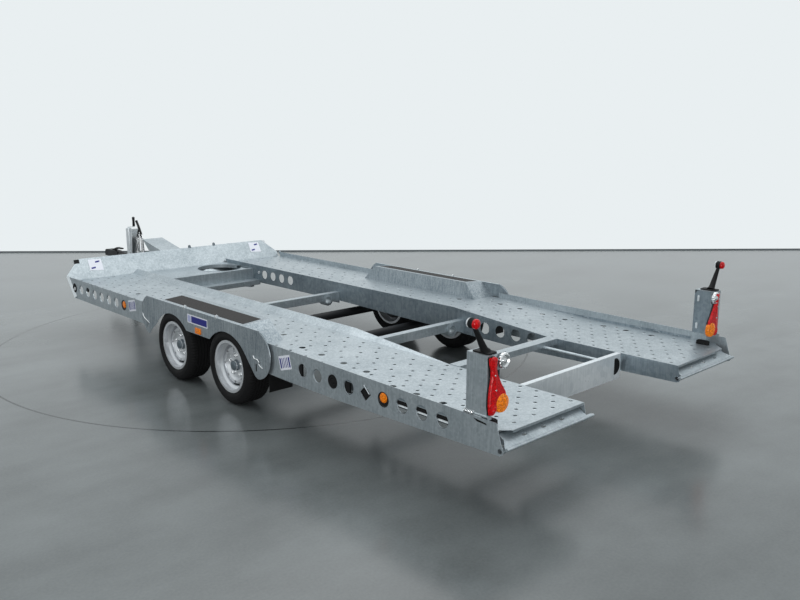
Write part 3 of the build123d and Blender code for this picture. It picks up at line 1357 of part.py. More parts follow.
os.makedirs("parts", exist_ok=True)
for name, part in NODES.items():
    export_step(part, os.path.join("parts", name + ".step"))
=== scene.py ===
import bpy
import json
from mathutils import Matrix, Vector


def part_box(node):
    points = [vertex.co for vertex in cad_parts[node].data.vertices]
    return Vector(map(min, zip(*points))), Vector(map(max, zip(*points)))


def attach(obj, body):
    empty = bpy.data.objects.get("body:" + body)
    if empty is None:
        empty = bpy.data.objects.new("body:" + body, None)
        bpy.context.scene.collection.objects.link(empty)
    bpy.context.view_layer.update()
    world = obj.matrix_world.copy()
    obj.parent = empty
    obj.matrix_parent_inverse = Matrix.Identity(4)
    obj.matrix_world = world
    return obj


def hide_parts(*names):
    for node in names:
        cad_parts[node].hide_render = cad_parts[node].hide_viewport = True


bl_info = {
    "name": "Car transporter trailer",
    "version": (1, 0, 0),
    "blender": (4, 5, 0),
    "location": "3D View > Sidebar > Transporter",
    "description": "Galvanised twin-axle car transporter, dressed around its packed solids",
    "category": "Object",
}

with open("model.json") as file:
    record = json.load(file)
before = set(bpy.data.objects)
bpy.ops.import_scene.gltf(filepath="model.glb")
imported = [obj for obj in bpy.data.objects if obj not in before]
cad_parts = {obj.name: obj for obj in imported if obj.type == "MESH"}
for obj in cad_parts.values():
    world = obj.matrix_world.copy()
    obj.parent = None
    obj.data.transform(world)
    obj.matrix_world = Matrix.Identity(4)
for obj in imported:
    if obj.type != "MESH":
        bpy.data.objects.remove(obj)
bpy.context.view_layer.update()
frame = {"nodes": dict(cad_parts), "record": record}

import json
import math

import bmesh
import bpy
from bpy.props import FloatProperty, FloatVectorProperty, IntProperty, PointerProperty
from mathutils import Euler, Matrix, Vector
from mathutils.geometry import delaunay_2d_cdt

MM = 0.001
SIDES = (("left", -1), ("right", 1))


def linear(hex_colour):
    """An sRGB hex colour as linear red, green, blue."""
    parts = [int(hex_colour[i:i + 2], 16) / 255 for i in (1, 3, 5)]
    return tuple(c / 12.92 if c <= 0.04045 else ((c + 0.055) / 1.055) ** 2.4 for c in parts)


# ---- sizes and colours -------------------------------------------------------------------

def length_prop(name, description, millimetres):
    return FloatProperty(name=name, description=description, default=millimetres * MM, unit="LENGTH")


def colour_prop(name, description, hex_colour):
    return FloatVectorProperty(
        name=name, description=description, default=linear(hex_colour), subtype="COLOR", min=0.0, max=1.0)


class DeckSizes(bpy.types.PropertyGroup):
    sheet: length_prop("Sheet", "Thickness of the track's running surface", 3.0)
    hole: length_prop("Hole", "Diameter of a small punched hole", 21.0)
    rim: length_prop("Rim", "Width of the raised edge round a hole", 4.5)
    lift: length_prop("Lift", "Height of the raised edge round a hole", 1.6)
    column_pitch: length_prop("Column pitch", "Distance between lengthwise rows of holes", 76.5)
    rear_pitch: length_prop("Rear pitch", "Distance between holes in a row behind the deck's fall", 109.0)
    front_pitch: length_prop("Front pitch", "Distance between holes in a row ahead of it", 154.0)
    large_hole: length_prop("Large hole", "Diameter of the large holes beside the rail", 42.0)


class WheelSizes(bpy.types.PropertyGroup):
    grooves: IntProperty(name="Grooves", description="Grooves round a tyre's tread", default=4, min=2, max=6)
    groove: length_prop("Groove depth", "Depth of the tread's grooves", 7.0)
    tread_pitches: IntProperty(name="Pitches", description="Tread blocks round a tyre", default=72, min=24)


class Colours(bpy.types.PropertyGroup):
    zinc_light: colour_prop("Zinc light", "Pale crystals of hot-dip zinc", "#C3CBCF")
    zinc_dark: colour_prop("Zinc dark", "Grey crystals of hot-dip zinc", "#8B969C")
    guard_zinc: colour_prop("Guard zinc", "Pale crystals of the mudguards", "#B8C0C4")
    # The brightest zinc: lighter than the rest. On the rail lips, the raked flanges and the posts' slot pads
    # it is painted highlight.
    pale_zinc_light: colour_prop("Pale zinc light", "Pale patches of the brightest zinc", "#EEF3F5")
    pale_zinc_dark: colour_prop("Pale zinc dark", "Dark patches of the brightest zinc", "#C4CCD0")
    # Web zinc: darker than the other zinc as painted shade, for faces that stand in shade (the right inner
    # web, the lamp posts' inner panels, the strips in the rail's holes). Its dark is also the dark of the
    # mudguards' real streaks.
    shaded_web_zinc_light: colour_prop("Shaded web zinc light", "Pale patches of the inner webs and beams", "#A3AFB6")
    streak_and_shade_zinc_dark: colour_prop("Streak and shade zinc dark", "Dark patches of the inner webs and beams", "#66737C")
    dull_zinc_light: colour_prop("Dull zinc light", "Pale patches of weathered zinc", "#7C878E")
    dull_zinc_dark: colour_prop("Dull zinc dark", "Dark patches of weathered zinc", "#4E5960")
    bright_plate: colour_prop("Bright plate", "Electroplated zinc on rods and small parts", "#DADCDD")
    wheel_paint: colour_prop("Wheel paint", "Silver paint of the rims", "#D2D5D8")
    tyre: colour_prop("Tyre", "Black tyre rubber", "#121213")
    rubber: colour_prop("Rubber", "Black moulded rubber", "#0D0E0F")
    plastic: colour_prop("Plastic", "Black moulded plastic", "#0C0D0E")
    casting: colour_prop("Casting", "Black painted casting", "#1E1F21")
    grit: colour_prop("Grit", "Gritty tape on the mudguards", "#262423")
    red_lens: colour_prop("Red lens", "Red lamp plastic", "#D2040C")
    amber_lens: colour_prop("Amber lens", "Amber lamp plastic", "#FF8A0A")
    clear_lens: colour_prop("Clear lens", "Colourless lamp plastic", "#DDE3E6")
    label: colour_prop("Label", "White film of the blank labels", "#E9ECF3")
    label_band: colour_prop("Label band", "Blue bands on the blank labels", "#262A80")
    label_pale: colour_prop("Label panel", "Pale blue panels on the blank labels", "#B4BBDF")
    floor: colour_prop("Floor", "Polished concrete floor", "#666B6B")
    floor_cut: colour_prop("Floor cut", "Dust in the joint sawn into the floor", "#2B2F30")
    # The two greys of the strip at the wall's foot: a painted shadow where the floor meets the wall.
    wall_shadow_dark: colour_prop("Wall shadow dark", "Dark patches of the mastic at the wall", "#5C6265")
    wall_shadow_light: colour_prop("Wall shadow light", "Pale patches of the mastic at the wall", "#7C8386")
    wall: colour_prop("Wall", "White wall behind", "#E9EFF1")


GROUPS = {"transporter_deck": DeckSizes, "transporter_wheel": WheelSizes, "transporter_colour": Colours}


# ---- shader helpers ----------------------------------------------------------------------

def fill(tree, made, inputs):
    """Fills a node's inputs with values or other nodes' outputs."""
    for key, value in inputs.items():
        if isinstance(value, bpy.types.NodeSocket):
            tree.links.new(value, made.inputs[key])
        else:
            made.inputs[key].default_value = value


def node(tree, kind, inputs=None, **settings):
    """Adds a node, sets it up and fills its inputs."""
    made = tree.nodes.new("ShaderNode" + kind)
    for name, value in settings.items():
        setattr(made, name, value)
    fill(tree, made, inputs or {})
    return made


def blank(name):
    """A material with one principled shader: the material, its tree, the shader and the place
    on the object."""
    made = bpy.data.materials.new(name)
    made.use_nodes = True
    tree = made.node_tree
    tree.nodes.clear()
    shader = node(tree, "BsdfPrincipled")
    node(tree, "OutputMaterial", {"Surface": shader.outputs[0]})
    return made, tree, shader, node(tree, "TexCoord").outputs["Object"]


def solid(colour, share=1.0):
    """A colour for a shader, made darker or lighter by a share."""
    return (*(min(1.0, c * share) for c in colour), 1.0)


def per_metre(millimetres):
    """Texture scale at which a pattern repeats about every so many millimetres."""
    return 1000.0 / millimetres


def noise(tree, place, millimetres, detail=2.0, **more):
    """A cloudy pattern, repeating about every so many millimetres."""
    inputs = {"Vector": place, "Scale": per_metre(millimetres), "Detail": detail, **more}
    return node(tree, "TexNoise", inputs).outputs[0]


def cells(tree, place, millimetres, **settings):
    """A pattern of cells about so many millimetres wide."""
    return node(tree, "TexVoronoi", {"Vector": place, "Scale": per_metre(millimetres)}, **settings)


def cell_tone(tree, pattern):
    """A grey of its own for each cell."""
    return node(tree, "SeparateColor", {"Color": pattern.outputs["Color"]}).outputs[0]


def blend(tree, share, first, second):
    """A number between two others."""
    return node(tree, "Mix", {0: share, 2: first, 3: second}, data_type="FLOAT").outputs[0]


def tinted(tree, share, dark, light):
    """A colour between two others."""
    return node(tree, "Mix", {0: share, 6: dark, 7: light}, data_type="RGBA").outputs[2]


def remap(tree, value, low=0.0, high=1.0, to_low=0.0, to_high=1.0):
    """A value moved from one range to another."""
    return node(tree, "MapRange", {
        "Value": value, "From Min": low, "From Max": high, "To Min": to_low, "To Max": to_high}).outputs[0]


def relief(tree, height, strength, depth_mm):
    """Bumps of a given depth."""
    return node(tree, "Bump", {"Height": height, "Strength": strength, "Distance": depth_mm * MM}).outputs[0]


# ---- materials ---------------------------------------------------------------------------

NOISE_SPREAD = (0.3, 0.7)     # nearly all of a cloudy pattern lies between these
CLOUD_MM, STREAK_MM = 260.0, 9.0
DRAINED = (1.0, 1.0, 0.06)    # stretches a pattern downwards
WEAR_PER_GRAIN = 22.0         # patches of wear are so many times wider than the grain
LENS_RIB_MM = 9.0
ACRYLIC_IOR = 1.49


def hot_dip_zinc(name, light, dark, metallic=0.75, roughness=(0.3, 0.46), crystal_mm=14.0, runs=0.35):
    """Hot-dip galvanised sheet steel: crystals frozen in the zinc, cloudy patches, and runs
    down upright faces where the zinc drained. It gives a soft grey sheen, never a mirror."""
    made, tree, shader, place = blank(name)
    tone = cell_tone(tree, cells(tree, place, crystal_mm))
    clouds = noise(tree, place, CLOUD_MM, 5.0, Roughness=0.6)
    drain = node(tree, "Mapping", {"Vector": place, "Scale": DRAINED}).outputs[0]
    cloudy = remap(tree, clouds, *NOISE_SPREAD)
    streaky = remap(tree, noise(tree, drain, STREAK_MM, 3.0), *NOISE_SPREAD)
    mixed = blend(tree, runs, blend(tree, 0.55, tone, cloudy), streaky)
    uneven = blend(tree, 0.7, noise(tree, place, 3.0), clouds)
    fill(tree, shader, {
        "Base Color": tinted(tree, mixed, solid(dark), solid(light)),
        "Roughness": remap(tree, mixed, to_low=roughness[1], to_high=roughness[0]),
        "Normal": relief(tree, uneven, 0.12, 0.6),
        "Metallic": metallic})
    return made


def speckled(name, colour, roughness, grain_mm, depth_mm, metallic=0.0, tint=0.25, coat=0.0):
    """A moulded, painted or plated surface: a fine grain in its colour and in its relief."""
    made, tree, shader, place = blank(name)
    grain = noise(tree, place, grain_mm, 4.0)
    wear = noise(tree, place, grain_mm * WEAR_PER_GRAIN, 3.0)
    speck = blend(tree, 0.5, grain, wear)
    fill(tree, shader, {
        "Base Color": tinted(tree, speck, solid(colour, 1.0 - tint), solid(colour, 1.0 + tint)),
        "Roughness": remap(tree, wear, *NOISE_SPREAD, roughness * 0.85, min(1.0, roughness * 1.15)),
        "Normal": relief(tree, grain, 0.5, depth_mm),
        "Metallic": metallic,
        "Specular IOR Level": 0.5 if metallic or coat else 0.25,
        "Coat Weight": coat,
        "Coat Roughness": 0.15})
    return made


def grit_tape(colour):
    """Anti-slip tape: coarse mineral grit bonded to dark film, pale on top of each grain and
    nearly black where the grit shades itself. The grit is drawn at 3 mm so that it shows."""
    made, tree, shader, place = blank("grit_tape")
    grit = cells(tree, place, 3.0)
    speck = blend(tree, 0.45, cell_tone(tree, grit), noise(tree, place, 90.0, 5.0))
    fill(tree, shader, {
        "Base Color": tinted(tree, speck, solid(colour, 0.45), solid(colour, 1.5)),
        "Normal": relief(tree, grit.outputs["Distance"], 0.8, 0.8),
        "Roughness": 0.85})
    return made


def lamp_lens(name, colour):
    """Moulded acrylic lens: ribs inside a smooth clear skin. The ribs are painted light and dark in its
    colour as painted glints and shade, and the lens has a painted glow.
    """
    made, tree, shader, place = blank(name)
    ribs = cells(tree, place, LENS_RIB_MM, distance="CHEBYCHEV").outputs["Distance"]
    shade = tinted(tree, ribs, solid(colour, 0.22), solid(colour))
    fill(tree, shader, {
        # Painted glints and shade of the ribs, in the colour and in a painted glow.
        "Base Color": shade,
        "Emission Color": shade,
        "Emission Strength": 0.35,
        "Normal": relief(tree, ribs, 0.4, 0.7),
        "Roughness": 0.18,
        "IOR": ACRYLIC_IOR,
        "Specular IOR Level": 0.25,
        "Coat Weight": 0.12,
        "Coat Roughness": 0.04})
    return made


MATERIALS = {}


def make_materials():
    colour = bpy.context.scene.transporter_colour
    MATERIALS.update({
        "galvanised": hot_dip_zinc("hot_dip_zinc", colour.zinc_light, colour.zinc_dark),
        "streaked_zinc": hot_dip_zinc(
            "streaked_hot_dip_zinc", colour.guard_zinc, colour.streak_and_shade_zinc_dark, crystal_mm=9.0, runs=0.45),
        # A lighter copy of the zinc; on the rail lips, raked flanges and slot pads it is painted highlight.
        "pale_zinc_and_painted_highlight": hot_dip_zinc(
            "pale_zinc_with_painted_highlight", colour.pale_zinc_light, colour.pale_zinc_dark,
            0.45, (0.25, 0.4), 40.0, 0.3),
        # A darker copy of the zinc, as painted shade.
        "shaded_web_zinc": hot_dip_zinc(
            "mottled_zinc_with_painted_shade", colour.shaded_web_zinc_light, colour.streak_and_shade_zinc_dark,
            0.75, (0.34, 0.5), 22.0, 0.3),
        "dull_steel": hot_dip_zinc(
            "weathered_zinc", colour.dull_zinc_light, colour.dull_zinc_dark, 0.6, (0.5, 0.68), 9.0),
        "bright_plated": speckled("bright_zinc_plate", colour.bright_plate, 0.24, 2.0, 0.05, 1.0, 0.12),
        "silver_wheel": speckled("silver_wheel_paint", colour.wheel_paint, 0.34, 1.2, 0.03, 0.65, 0.12, 0.4),
        "tyre_rubber": speckled("tyre_rubber", colour.tyre, 0.78, 5.0, 0.2, 0.0, 0.3),
        "black_rubber": speckled("black_rubber", colour.rubber, 0.7, 3.0, 0.15, 0.0, 0.25),
        "grey_rubber": speckled("grey_rubber", colour.rubber, 0.65, 3.0, 0.15, 0.0, 0.25),
        "black_plastic": speckled("black_moulded_plastic", colour.plastic, 0.38, 1.5, 0.05, 0.0, 0.2),
        "dark_casting": speckled("black_painted_casting", colour.casting, 0.5, 6.0, 0.4, 0.0, 0.3),
        "grit_tape": grit_tape(colour.grit),
        "red_lens": lamp_lens("red_acrylic_lens", colour.red_lens),
        "amber_lens": lamp_lens("amber_acrylic_lens", colour.amber_lens),
        "clear_lens": lamp_lens("clear_acrylic_lens", colour.clear_lens),
        "label": speckled("white_vinyl_label", colour.label, 0.35, 8.0, 0.02, 0.0, 0.04),
        "label_band": speckled("blue_vinyl_label", colour.label_band, 0.35, 8.0, 0.02, 0.0, 0.08),
        "label_pale": speckled("pale_vinyl_label", colour.label_pale, 0.35, 8.0, 0.02, 0.0, 0.06),
    })


# ---- mesh helpers ------------------------------------------------------------------------

SHARP_ANGLE = math.radians(38.0)    # edges bent more than this stay sharp on a smooth piece
TINY = 1e-7                         # metres


def piece(name, mesh, body, finish, slot=None, smooth=False):
    """A finished object on a body, with its material. Its slot is not used."""
    data = bpy.data.meshes.new(name)
    bmesh.ops.recalc_face_normals(mesh, faces=mesh.faces)
    mesh.to_mesh(data)
    mesh.free()
    data.materials.append(MATERIALS[finish])
    if smooth:
        data.shade_smooth()
        data.set_sharp_from_angle(angle=SHARP_ANGLE)
    made = bpy.data.objects.new(name, data)
    bpy.context.scene.collection.objects.link(made)
    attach(made, body)
    slot or finish
    return made


def paint(cad_node, finish):
    """Gives a CAD node's own solid its finish."""
    materials = frame["nodes"][cad_node].data.materials
    materials.clear()
    materials.append(MATERIALS[finish])


def ring_points(centre, radius, count):
    """Points of a circle in a sheet's own plane."""
    angles = (2 * math.pi * i / count for i in range(count))
    return [(centre[0] + radius * math.cos(a), centre[1] + radius * math.sin(a)) for a in angles]


def punched_sheet(outline, holes, place, thickness, rim=0.0, lift=0.0, folds=()):
    """A sheet with real holes. outline and holes are (u, v) loops, place(u, v, w) puts a point of
    the sheet in the frame at height w over its face, and folds are lines where the sheet bends.
    With a rim, each hole has a raised edge of that width."""
    points, edges, lifted = [], [], set()

    def loop(ring, raised=False):
        start = len(points)
        points.extend(Vector(p) for p in ring)
        count = len(ring)
        edges.extend((start + i, start + (i + 1) % count) for i in range(count))
        if raised:
            lifted.update(range(start, start + count))

    loop(outline)
    for line in folds:
        start = len(points)
        points.extend(Vector(p) for p in line)
        edges.append((start, start + 1))
    for ring in holes:
        loop(ring, raised=rim > 0.0)
        if rim > 0.0:
            centre = sum((Vector(p) for p in ring), Vector((0.0, 0.0))) / len(ring)
            loop([centre + (Vector(p) - centre) * (1.0 + rim / (Vector(p) - centre).length) for p in ring])
    flat, _, faces, origins, _, _ = delaunay_2d_cdt(points, edges, [], 0, TINY)
    raised = {i for i, found in enumerate(origins) if any(o in lifted for o in found)}
    kept = [f for f in faces if inside(flat, f, outline, holes)]
    mesh = bmesh.new()
    rises = [lift if i in raised else 0.0 for i in range(len(flat))]
    top = [mesh.verts.new(place(p.x, p.y, rise)) for p, rise in zip(flat, rises)]
    low = [mesh.verts.new(place(p.x, p.y, rise - thickness)) for p, rise in zip(flat, rises)]
    used = {}
    for face in kept:
        mesh.faces.new([top[i] for i in face])
        mesh.faces.new([low[i] for i in reversed(face)])
        for a, b in zip(face, list(face[1:]) + [face[0]]):
            used[(a, b)] = used.get((a, b), 0) + 1
    for a, b in used:
        if (b, a) not in used:
            mesh.faces.new([top[b], top[a], low[a], low[b]])
    bmesh.ops.delete(mesh, geom=[v for v in mesh.verts if not v.link_faces], context="VERTS")
    return mesh


def inside(flat, face, outline, holes):
    """Whether a triangle's middle lies on the sheet and in none of its holes."""
    middle = sum((flat[i] for i in face), Vector((0.0, 0.0))) / len(face)
    if not within(middle, outline):
        return False
    for ring in holes:
        reach = max(abs(p[0] - ring[0][0]) + abs(p[1] - ring[0][1]) for p in ring)
        if abs(middle.x - ring[0][0]) + abs(middle.y - ring[0][1]) <= reach and within(middle, ring):
            return False
    return True


def within(point, ring):
    """Whether a point lies inside a closed loop."""
    found = False
    for (x0, y0), (x1, y1) in zip(ring, list(ring[1:]) + [ring[0]]):
        if (y0 > point.y) != (y1 > point.y) and point.x < x0 + (point.y - y0) * (x1 - x0) / (y1 - y0):
            found = not found
    return found


def turned(profile, centre, direction=(1, 0, 0), steps=48, closed=True):
    """A turned solid: (along, radius) points in millimetres spun about a line through centre."""
    mesh = bmesh.new()
    turn = Vector((0, 0, 1)).rotation_difference(Vector(direction).normalized()).to_matrix()
    rings = []
    for along, radius in ((a * MM, r * MM) for a, r in profile):
        if radius < TINY:
            rings.append([mesh.verts.new(Vector(centre) + turn @ Vector((0, 0, along)))])
            continue
        ring = []
        for i in range(steps):
            angle = 2 * math.pi * i / steps
            spot = Vector((radius * math.cos(angle), radius * math.sin(angle), along))
            ring.append(mesh.verts.new(Vector(centre) + turn @ spot))
        rings.append(ring)
    pairs = list(zip(rings, rings[1:])) + ([(rings[-1], rings[0])] if closed else [])
    for first, second in pairs:
        for i in range(steps):
            corners = distinct([
                first[i % len(first)], first[(i + 1) % len(first)],
                second[(i + 1) % len(second)], second[i % len(second)]])
            if len(corners) > 2:
                mesh.faces.new(corners)
    return mesh


def distinct(corners):
    """The corners of a face without the ones that come twice."""
    return [c for n, c in enumerate(corners) if c not in corners[:n]]


def bridged(mesh, rings):
    """Faces between each ring of corners and the next."""
    for first, second in zip(rings, rings[1:]):
        for i in range(len(first)):
            j = (i + 1) % len(first)
            mesh.faces.new([first[i], first[j], second[j], second[i]])


def prism(points, start, end):
    """A solid between two copies of a loop: points are 3-D, moved by start and by end."""
    mesh = bmesh.new()
    first = [mesh.verts.new(Vector(p) + Vector(start)) for p in points]
    second = [mesh.verts.new(Vector(p) + Vector(end)) for p in points]
    mesh.faces.new(first)
    mesh.faces.new(list(reversed(second)))
    for i in range(len(points)):
        j = (i + 1) % len(points)
        mesh.faces.new([first[i], second[i], second[j], first[j]])
    return mesh


def joined(meshes):
    """One mesh from several."""
    whole = bmesh.new()
    for part in meshes:
        data = bpy.data.meshes.new("part")
        part.to_mesh(data)
        part.free()
        whole.from_mesh(data)
        bpy.data.meshes.remove(data)
    return whole


def slab(low, high):
    """A plain block between two corners, for joining into larger pieces."""
    x0, y0, z0 = low
    x1, y1, z1 = high
    return prism([(x0, y0, z0), (x1, y0, z0), (x1, y1, z0), (x0, y1, z0)], (0, 0, 0), (0, 0, z1 - z0))


def rod(points, radius, sides=10, rounded=True):
    """A round bar or wire bent through points, its radius in millimetres."""
    mesh = bmesh.new()
    path = smooth_path(points) if rounded and len(points) > 2 else [Vector(p) for p in points]
    rings = []
    across = None
    for i, spot in enumerate(path):
        ahead = (path[min(i + 1, len(path) - 1)] - path[max(i - 1, 0)]).normalized()
        if across is None:
            across = ahead.orthogonal().normalized()
        across = (across - ahead * across.dot(ahead)).normalized()
        up = ahead.cross(across)
        rings.append([
            mesh.verts.new(spot + radius * MM * (across * math.cos(a) + up * math.sin(a)))
            for a in (2 * math.pi * k / sides for k in range(sides))])
    bridged(mesh, rings)
    mesh.faces.new(list(reversed(rings[0])))
    mesh.faces.new(rings[-1])
    return mesh


def smooth_path(points, steps=6):
    """Points of a smooth line through the given ones."""
    found = []
    spots = [Vector(p) for p in points]
    ends = [spots[0] * 2 - spots[1]] + spots + [spots[-1] * 2 - spots[-2]]
    for i in range(1, len(ends) - 2):
        a, b, c, d = ends[i - 1:i + 3]
        for k in range(steps):
            t = k / steps
            square = (2 * a - 5 * b + 4 * c - d) * t ** 2
            cube = (3 * b - a - 3 * c + d) * t ** 3
            found.append(0.5 * (2 * b + (c - a) * t + square + cube))
    return found + [spots[-1]]


def mirrored(mesh):
    """The same mesh on the trailer's other side."""
    bmesh.ops.transform(mesh, matrix=Matrix.Scale(-1, 4, (1, 0, 0)), verts=mesh.verts)
    bmesh.ops.reverse_faces(mesh, faces=mesh.faces)
    return mesh


def both(name, make, body, finish, slot=None, smooth=False):
    """A left piece and its mirror image on the right. body may hold {side}."""
    made = []
    for side, sign in SIDES:
        mesh = make() if sign < 0 else mirrored(make())
        made.append(piece(name + "_" + side, mesh, body.format(side=side), finish, slot, smooth))
    return made


def between_axles():
    """Lengthwise place midway between the axles, from the wheels' own boxes."""
    ends = [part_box("tyre_" + end + "_left") for end in ("front", "rear")]
    return sum(low.y + high.y for low, high in ends) / 4


MIDDLE_Y = between_axles()


def at(x, y, z):
    """A point in millimetres, y measured from midway between the axles, as metres in the frame."""
    return Vector((x * MM, MIDDLE_Y + y * MM, z * MM))


def quarter(steps):
    """Sines and cosines round a quarter turn, without its start."""
    angles = (math.pi / 2 * i / steps for i in range(1, steps + 1))
    return [(math.sin(a), math.cos(a)) for a in angles]


def disc(centre, direction, radius, depth, round_edge=2.0, steps=32):
    """A turned button with a rounded front edge, standing depth out of its foot. Millimetres."""
    profile = [(0.0, 0.0), (0.0, radius), (depth - round_edge, radius)]
    profile += [(depth - round_edge + round_edge * s, radius - round_edge + round_edge * c)
                for s, c in quarter(4)]
    return turned([*profile, (depth, 0.0)], centre, direction, steps, closed=False)


def dome(centre, direction, radius, depth):
    """A lens: a short skirt and a domed face."""
    profile = [(0.0, 0.0), (0.0, radius), (depth * 0.45, radius)]
    profile += [(depth * (0.45 + 0.55 * s), radius * c) for s, c in quarter(6)[:-1]]
    return turned([*profile, (depth, 0.0)], centre, direction, 40, closed=False)


def hexagon(centre, direction, across, height):
    """A chamfered nut or bolt head, across its flats."""
    outer = across / math.sqrt(3)
    profile = [(0.0, 0.0), (0.0, outer), (height * 0.85, outer), (height, outer * 0.88), (height, 0.0)]
    return turned(profile, centre, direction, 6, closed=False)


def plate(points, run, edge=1.0):
    """A prism with broken edges, so that its edges catch the light. Points in metres; run, from
    one face to the other, and edge in millimetres."""
    mesh = prism(points, (0, 0, 0), tuple(c * MM for c in run))
    bmesh.ops.bevel(mesh, geom=mesh.edges[:], offset=edge * MM, segments=2, affect="EDGES", profile=0.6)
    return mesh


# ---- finishes ----------------------------------------------------------------------------

# The right inner web, whose inner face the camera sees, gets the darker web zinc as painted shade.
FINISH_BY_NODE = {
    "mudguard_left": "streaked_zinc", "mudguard_right": "streaked_zinc", "inner_web_right": "shaded_web_zinc",
    "rear_crossmember": "pale_zinc_and_painted_highlight",
    "jockey_tube": "pale_zinc_and_painted_highlight", "jockey_leg": "pale_zinc_and_painted_highlight",
    "axle_front": "dark_casting", "axle_rear": "dark_casting"}


class TRANSPORTER_OT_finishes(bpy.types.Operator):
    """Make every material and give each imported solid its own"""
    bl_idname = "transporter.finishes"
    bl_label = "Finishes"

    def execute(self, context):
        make_materials()
        for entry in frame["record"]["subparts"]:
            paint(entry["node"], FINISH_BY_NODE.get(entry["node"], entry["material_slot"]))
        return {"FINISHED"}


# ---- tracks ------------------------------------------------------------------------------

DECK_FALL = ((-890.0, 470.0), (-1750.0, 441.0))    # (lengthwise place, height) where the deck falls
DECK_ENDS = (-2702.0, 2351.0)
DECK_SIDES = (-1143.0, -484.0)
WHEEL_BAY = (-935.0, -700.0, 660.0)                # its inner side, rear end and front end
CORNER = 95.0
CURB_FOOT = -1700.0                                # the curb covers the innermost row ahead of this
PITCH_CHANGE = -1800.0                             # the rows are closer behind this
ROW_MARGINS = (30.0, 34.0)                         # from the inner and the outer side to a row
END_MARGIN, BAY_MARGIN, LARGE_MARGIN = 60.0, 40.0, 52.0
LARGE_HOLES = (
    (-960.0, -945.0), (-960.0, -1141.0), (-960.0, -1354.0), (-960.0, -1559.0),
    (-1020.0, -1845.0), (-1020.0, -2027.0), (-1020.0, -2221.0),
    (-859.0, -601.0), (-946.0, 1366.0), (-1059.0, 2293.0), (-1082.0, 1883.0))


def deck_height(y):
    """Height of the deck at a lengthwise place, millimetres."""
    (start, high), (end, low) = DECK_FALL
    share = min(1.0, max(0.0, (start - y) / (start - end)))
    return high + (low - high) * share


def deck_outline():
    """Corners of the left deck, with the bay that it leaves for the wheels."""
    x0, x1 = DECK_SIDES
    rear, front = DECK_ENDS
    bay_x, bay_rear, bay_front = WHEEL_BAY
    return [
        (x1, rear), (x1, front), (x0, front), (x0, bay_front), (bay_x, bay_front),
        (bay_x, bay_rear), (x0, bay_rear), (x0, rear + CORNER), (x0 + CORNER, rear)]


def small_holes(sizes):
    """Places of the small holes: lengthwise rows, each shifted half a pitch from the next."""
    pitch_x = sizes.column_pitch / MM
    rear_pitch, front_pitch = sizes.rear_pitch / MM, sizes.front_pitch / MM
    x0, x1 = DECK_SIDES
    bay_x, bay_rear, bay_front = WHEEL_BAY
    places = []
    column = 0
    x = x1 - ROW_MARGINS[0]
    while x > x0 + ROW_MARGINS[1]:
        y = DECK_ENDS[0] + END_MARGIN + (rear_pitch / 2 if column % 2 else 0.0)
        while y < DECK_ENDS[1] - END_MARGIN:
            in_bay = x < bay_x + BAY_MARGIN and bay_rear - BAY_MARGIN < y < bay_front + BAY_MARGIN
            under_curb = column == 0 and y > CURB_FOOT
            in_corner = x - x0 + y - DECK_ENDS[0] < CORNER + END_MARGIN
            near_large = any(math.hypot(x - a, y - b) < LARGE_MARGIN for a, b in LARGE_HOLES)
            if not (in_bay or under_curb or in_corner or near_large):
                places.append((x, y))
            y += rear_pitch if y < PITCH_CHANGE else front_pitch
        x -= pitch_x
        column += 1
    return places


def punched_deck():
    """The left running surface, with its punched holes and its rear edge turned down."""
    sizes = bpy.context.scene.transporter_deck
    holes = [ring_points((x * MM, y * MM), sizes.hole / 2, 14) for x, y in small_holes(sizes)]
    holes += [ring_points((x * MM, y * MM), sizes.large_hole / 2, 24) for x, y in LARGE_HOLES]
    outline = [(x * MM, y * MM) for x, y in deck_outline()]
    folds = [[(DECK_SIDES[0] * MM, y * MM), (DECK_SIDES[1] * MM, y * MM)] for y, _ in DECK_FALL]

    def place(u, v, w):
        return Vector((u, MIDDLE_Y + v, deck_height(v / MM) * MM + w))

    sheet = punched_sheet(outline, holes, place, sizes.sheet, sizes.rim, sizes.lift, folds)
    rear = DECK_ENDS[0]
    low = deck_height(rear)
    lip = [at(0, rear + y, low - down) for y, down in ((0, 3), (3, 3), (4, 10), (7, 15), (4, 16), (0.5, 11))]
    turned_down = prism(lip, (DECK_SIDES[1] * MM, 0, 0), ((DECK_SIDES[0] + CORNER) * MM, 0, 0))
    return joined([sheet, turned_down])


class TRANSPORTER_OT_decks(bpy.types.Operator):
    """Make the two punched running surfaces"""
    bl_idname = "transporter.decks"
    bl_label = "Punched decks"

    def execute(self, context):
        for (side, _), made in zip(SIDES, both("punched_deck", punched_deck, "chassis", "galvanised")):
            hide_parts("track_deck_" + side)
        return {"FINISHED"}


# ---- wheels ------------------------------------------------------------------------------

SIDEWALL = (    # half a tyre's section from bead to shoulder: (from its middle plane, radius), mm
    (77.0, 165.5), (77.0, 180.0), (84.0, 184.0), (91.0, 188.0), (94.0, 191.0), (95.2, 194.0),
    (95.6, 196.0), (97.0, 198.0), (97.8, 206.0), (97.4, 214.0), (95.8, 222.0), (96.2, 224.0), (94.6, 227.0),
    (92.0, 234.0), (88.0, 242.0), (83.0, 249.0), (77.0, 254.5), (70.0, 258.2), (64.0, 260.0))
TREAD_EDGE = 60.0
TREAD_RADIUS = 260.0
GROOVE_HALVES = (5.0, 3.2)      # half a groove's width at the tread and at its floor
SHOULDER = (40.0, 243.0)        # blocks are cut outside this place and above this radius
SHOULDER_CUT = 3.5
RINGS_PER_PITCH = 4


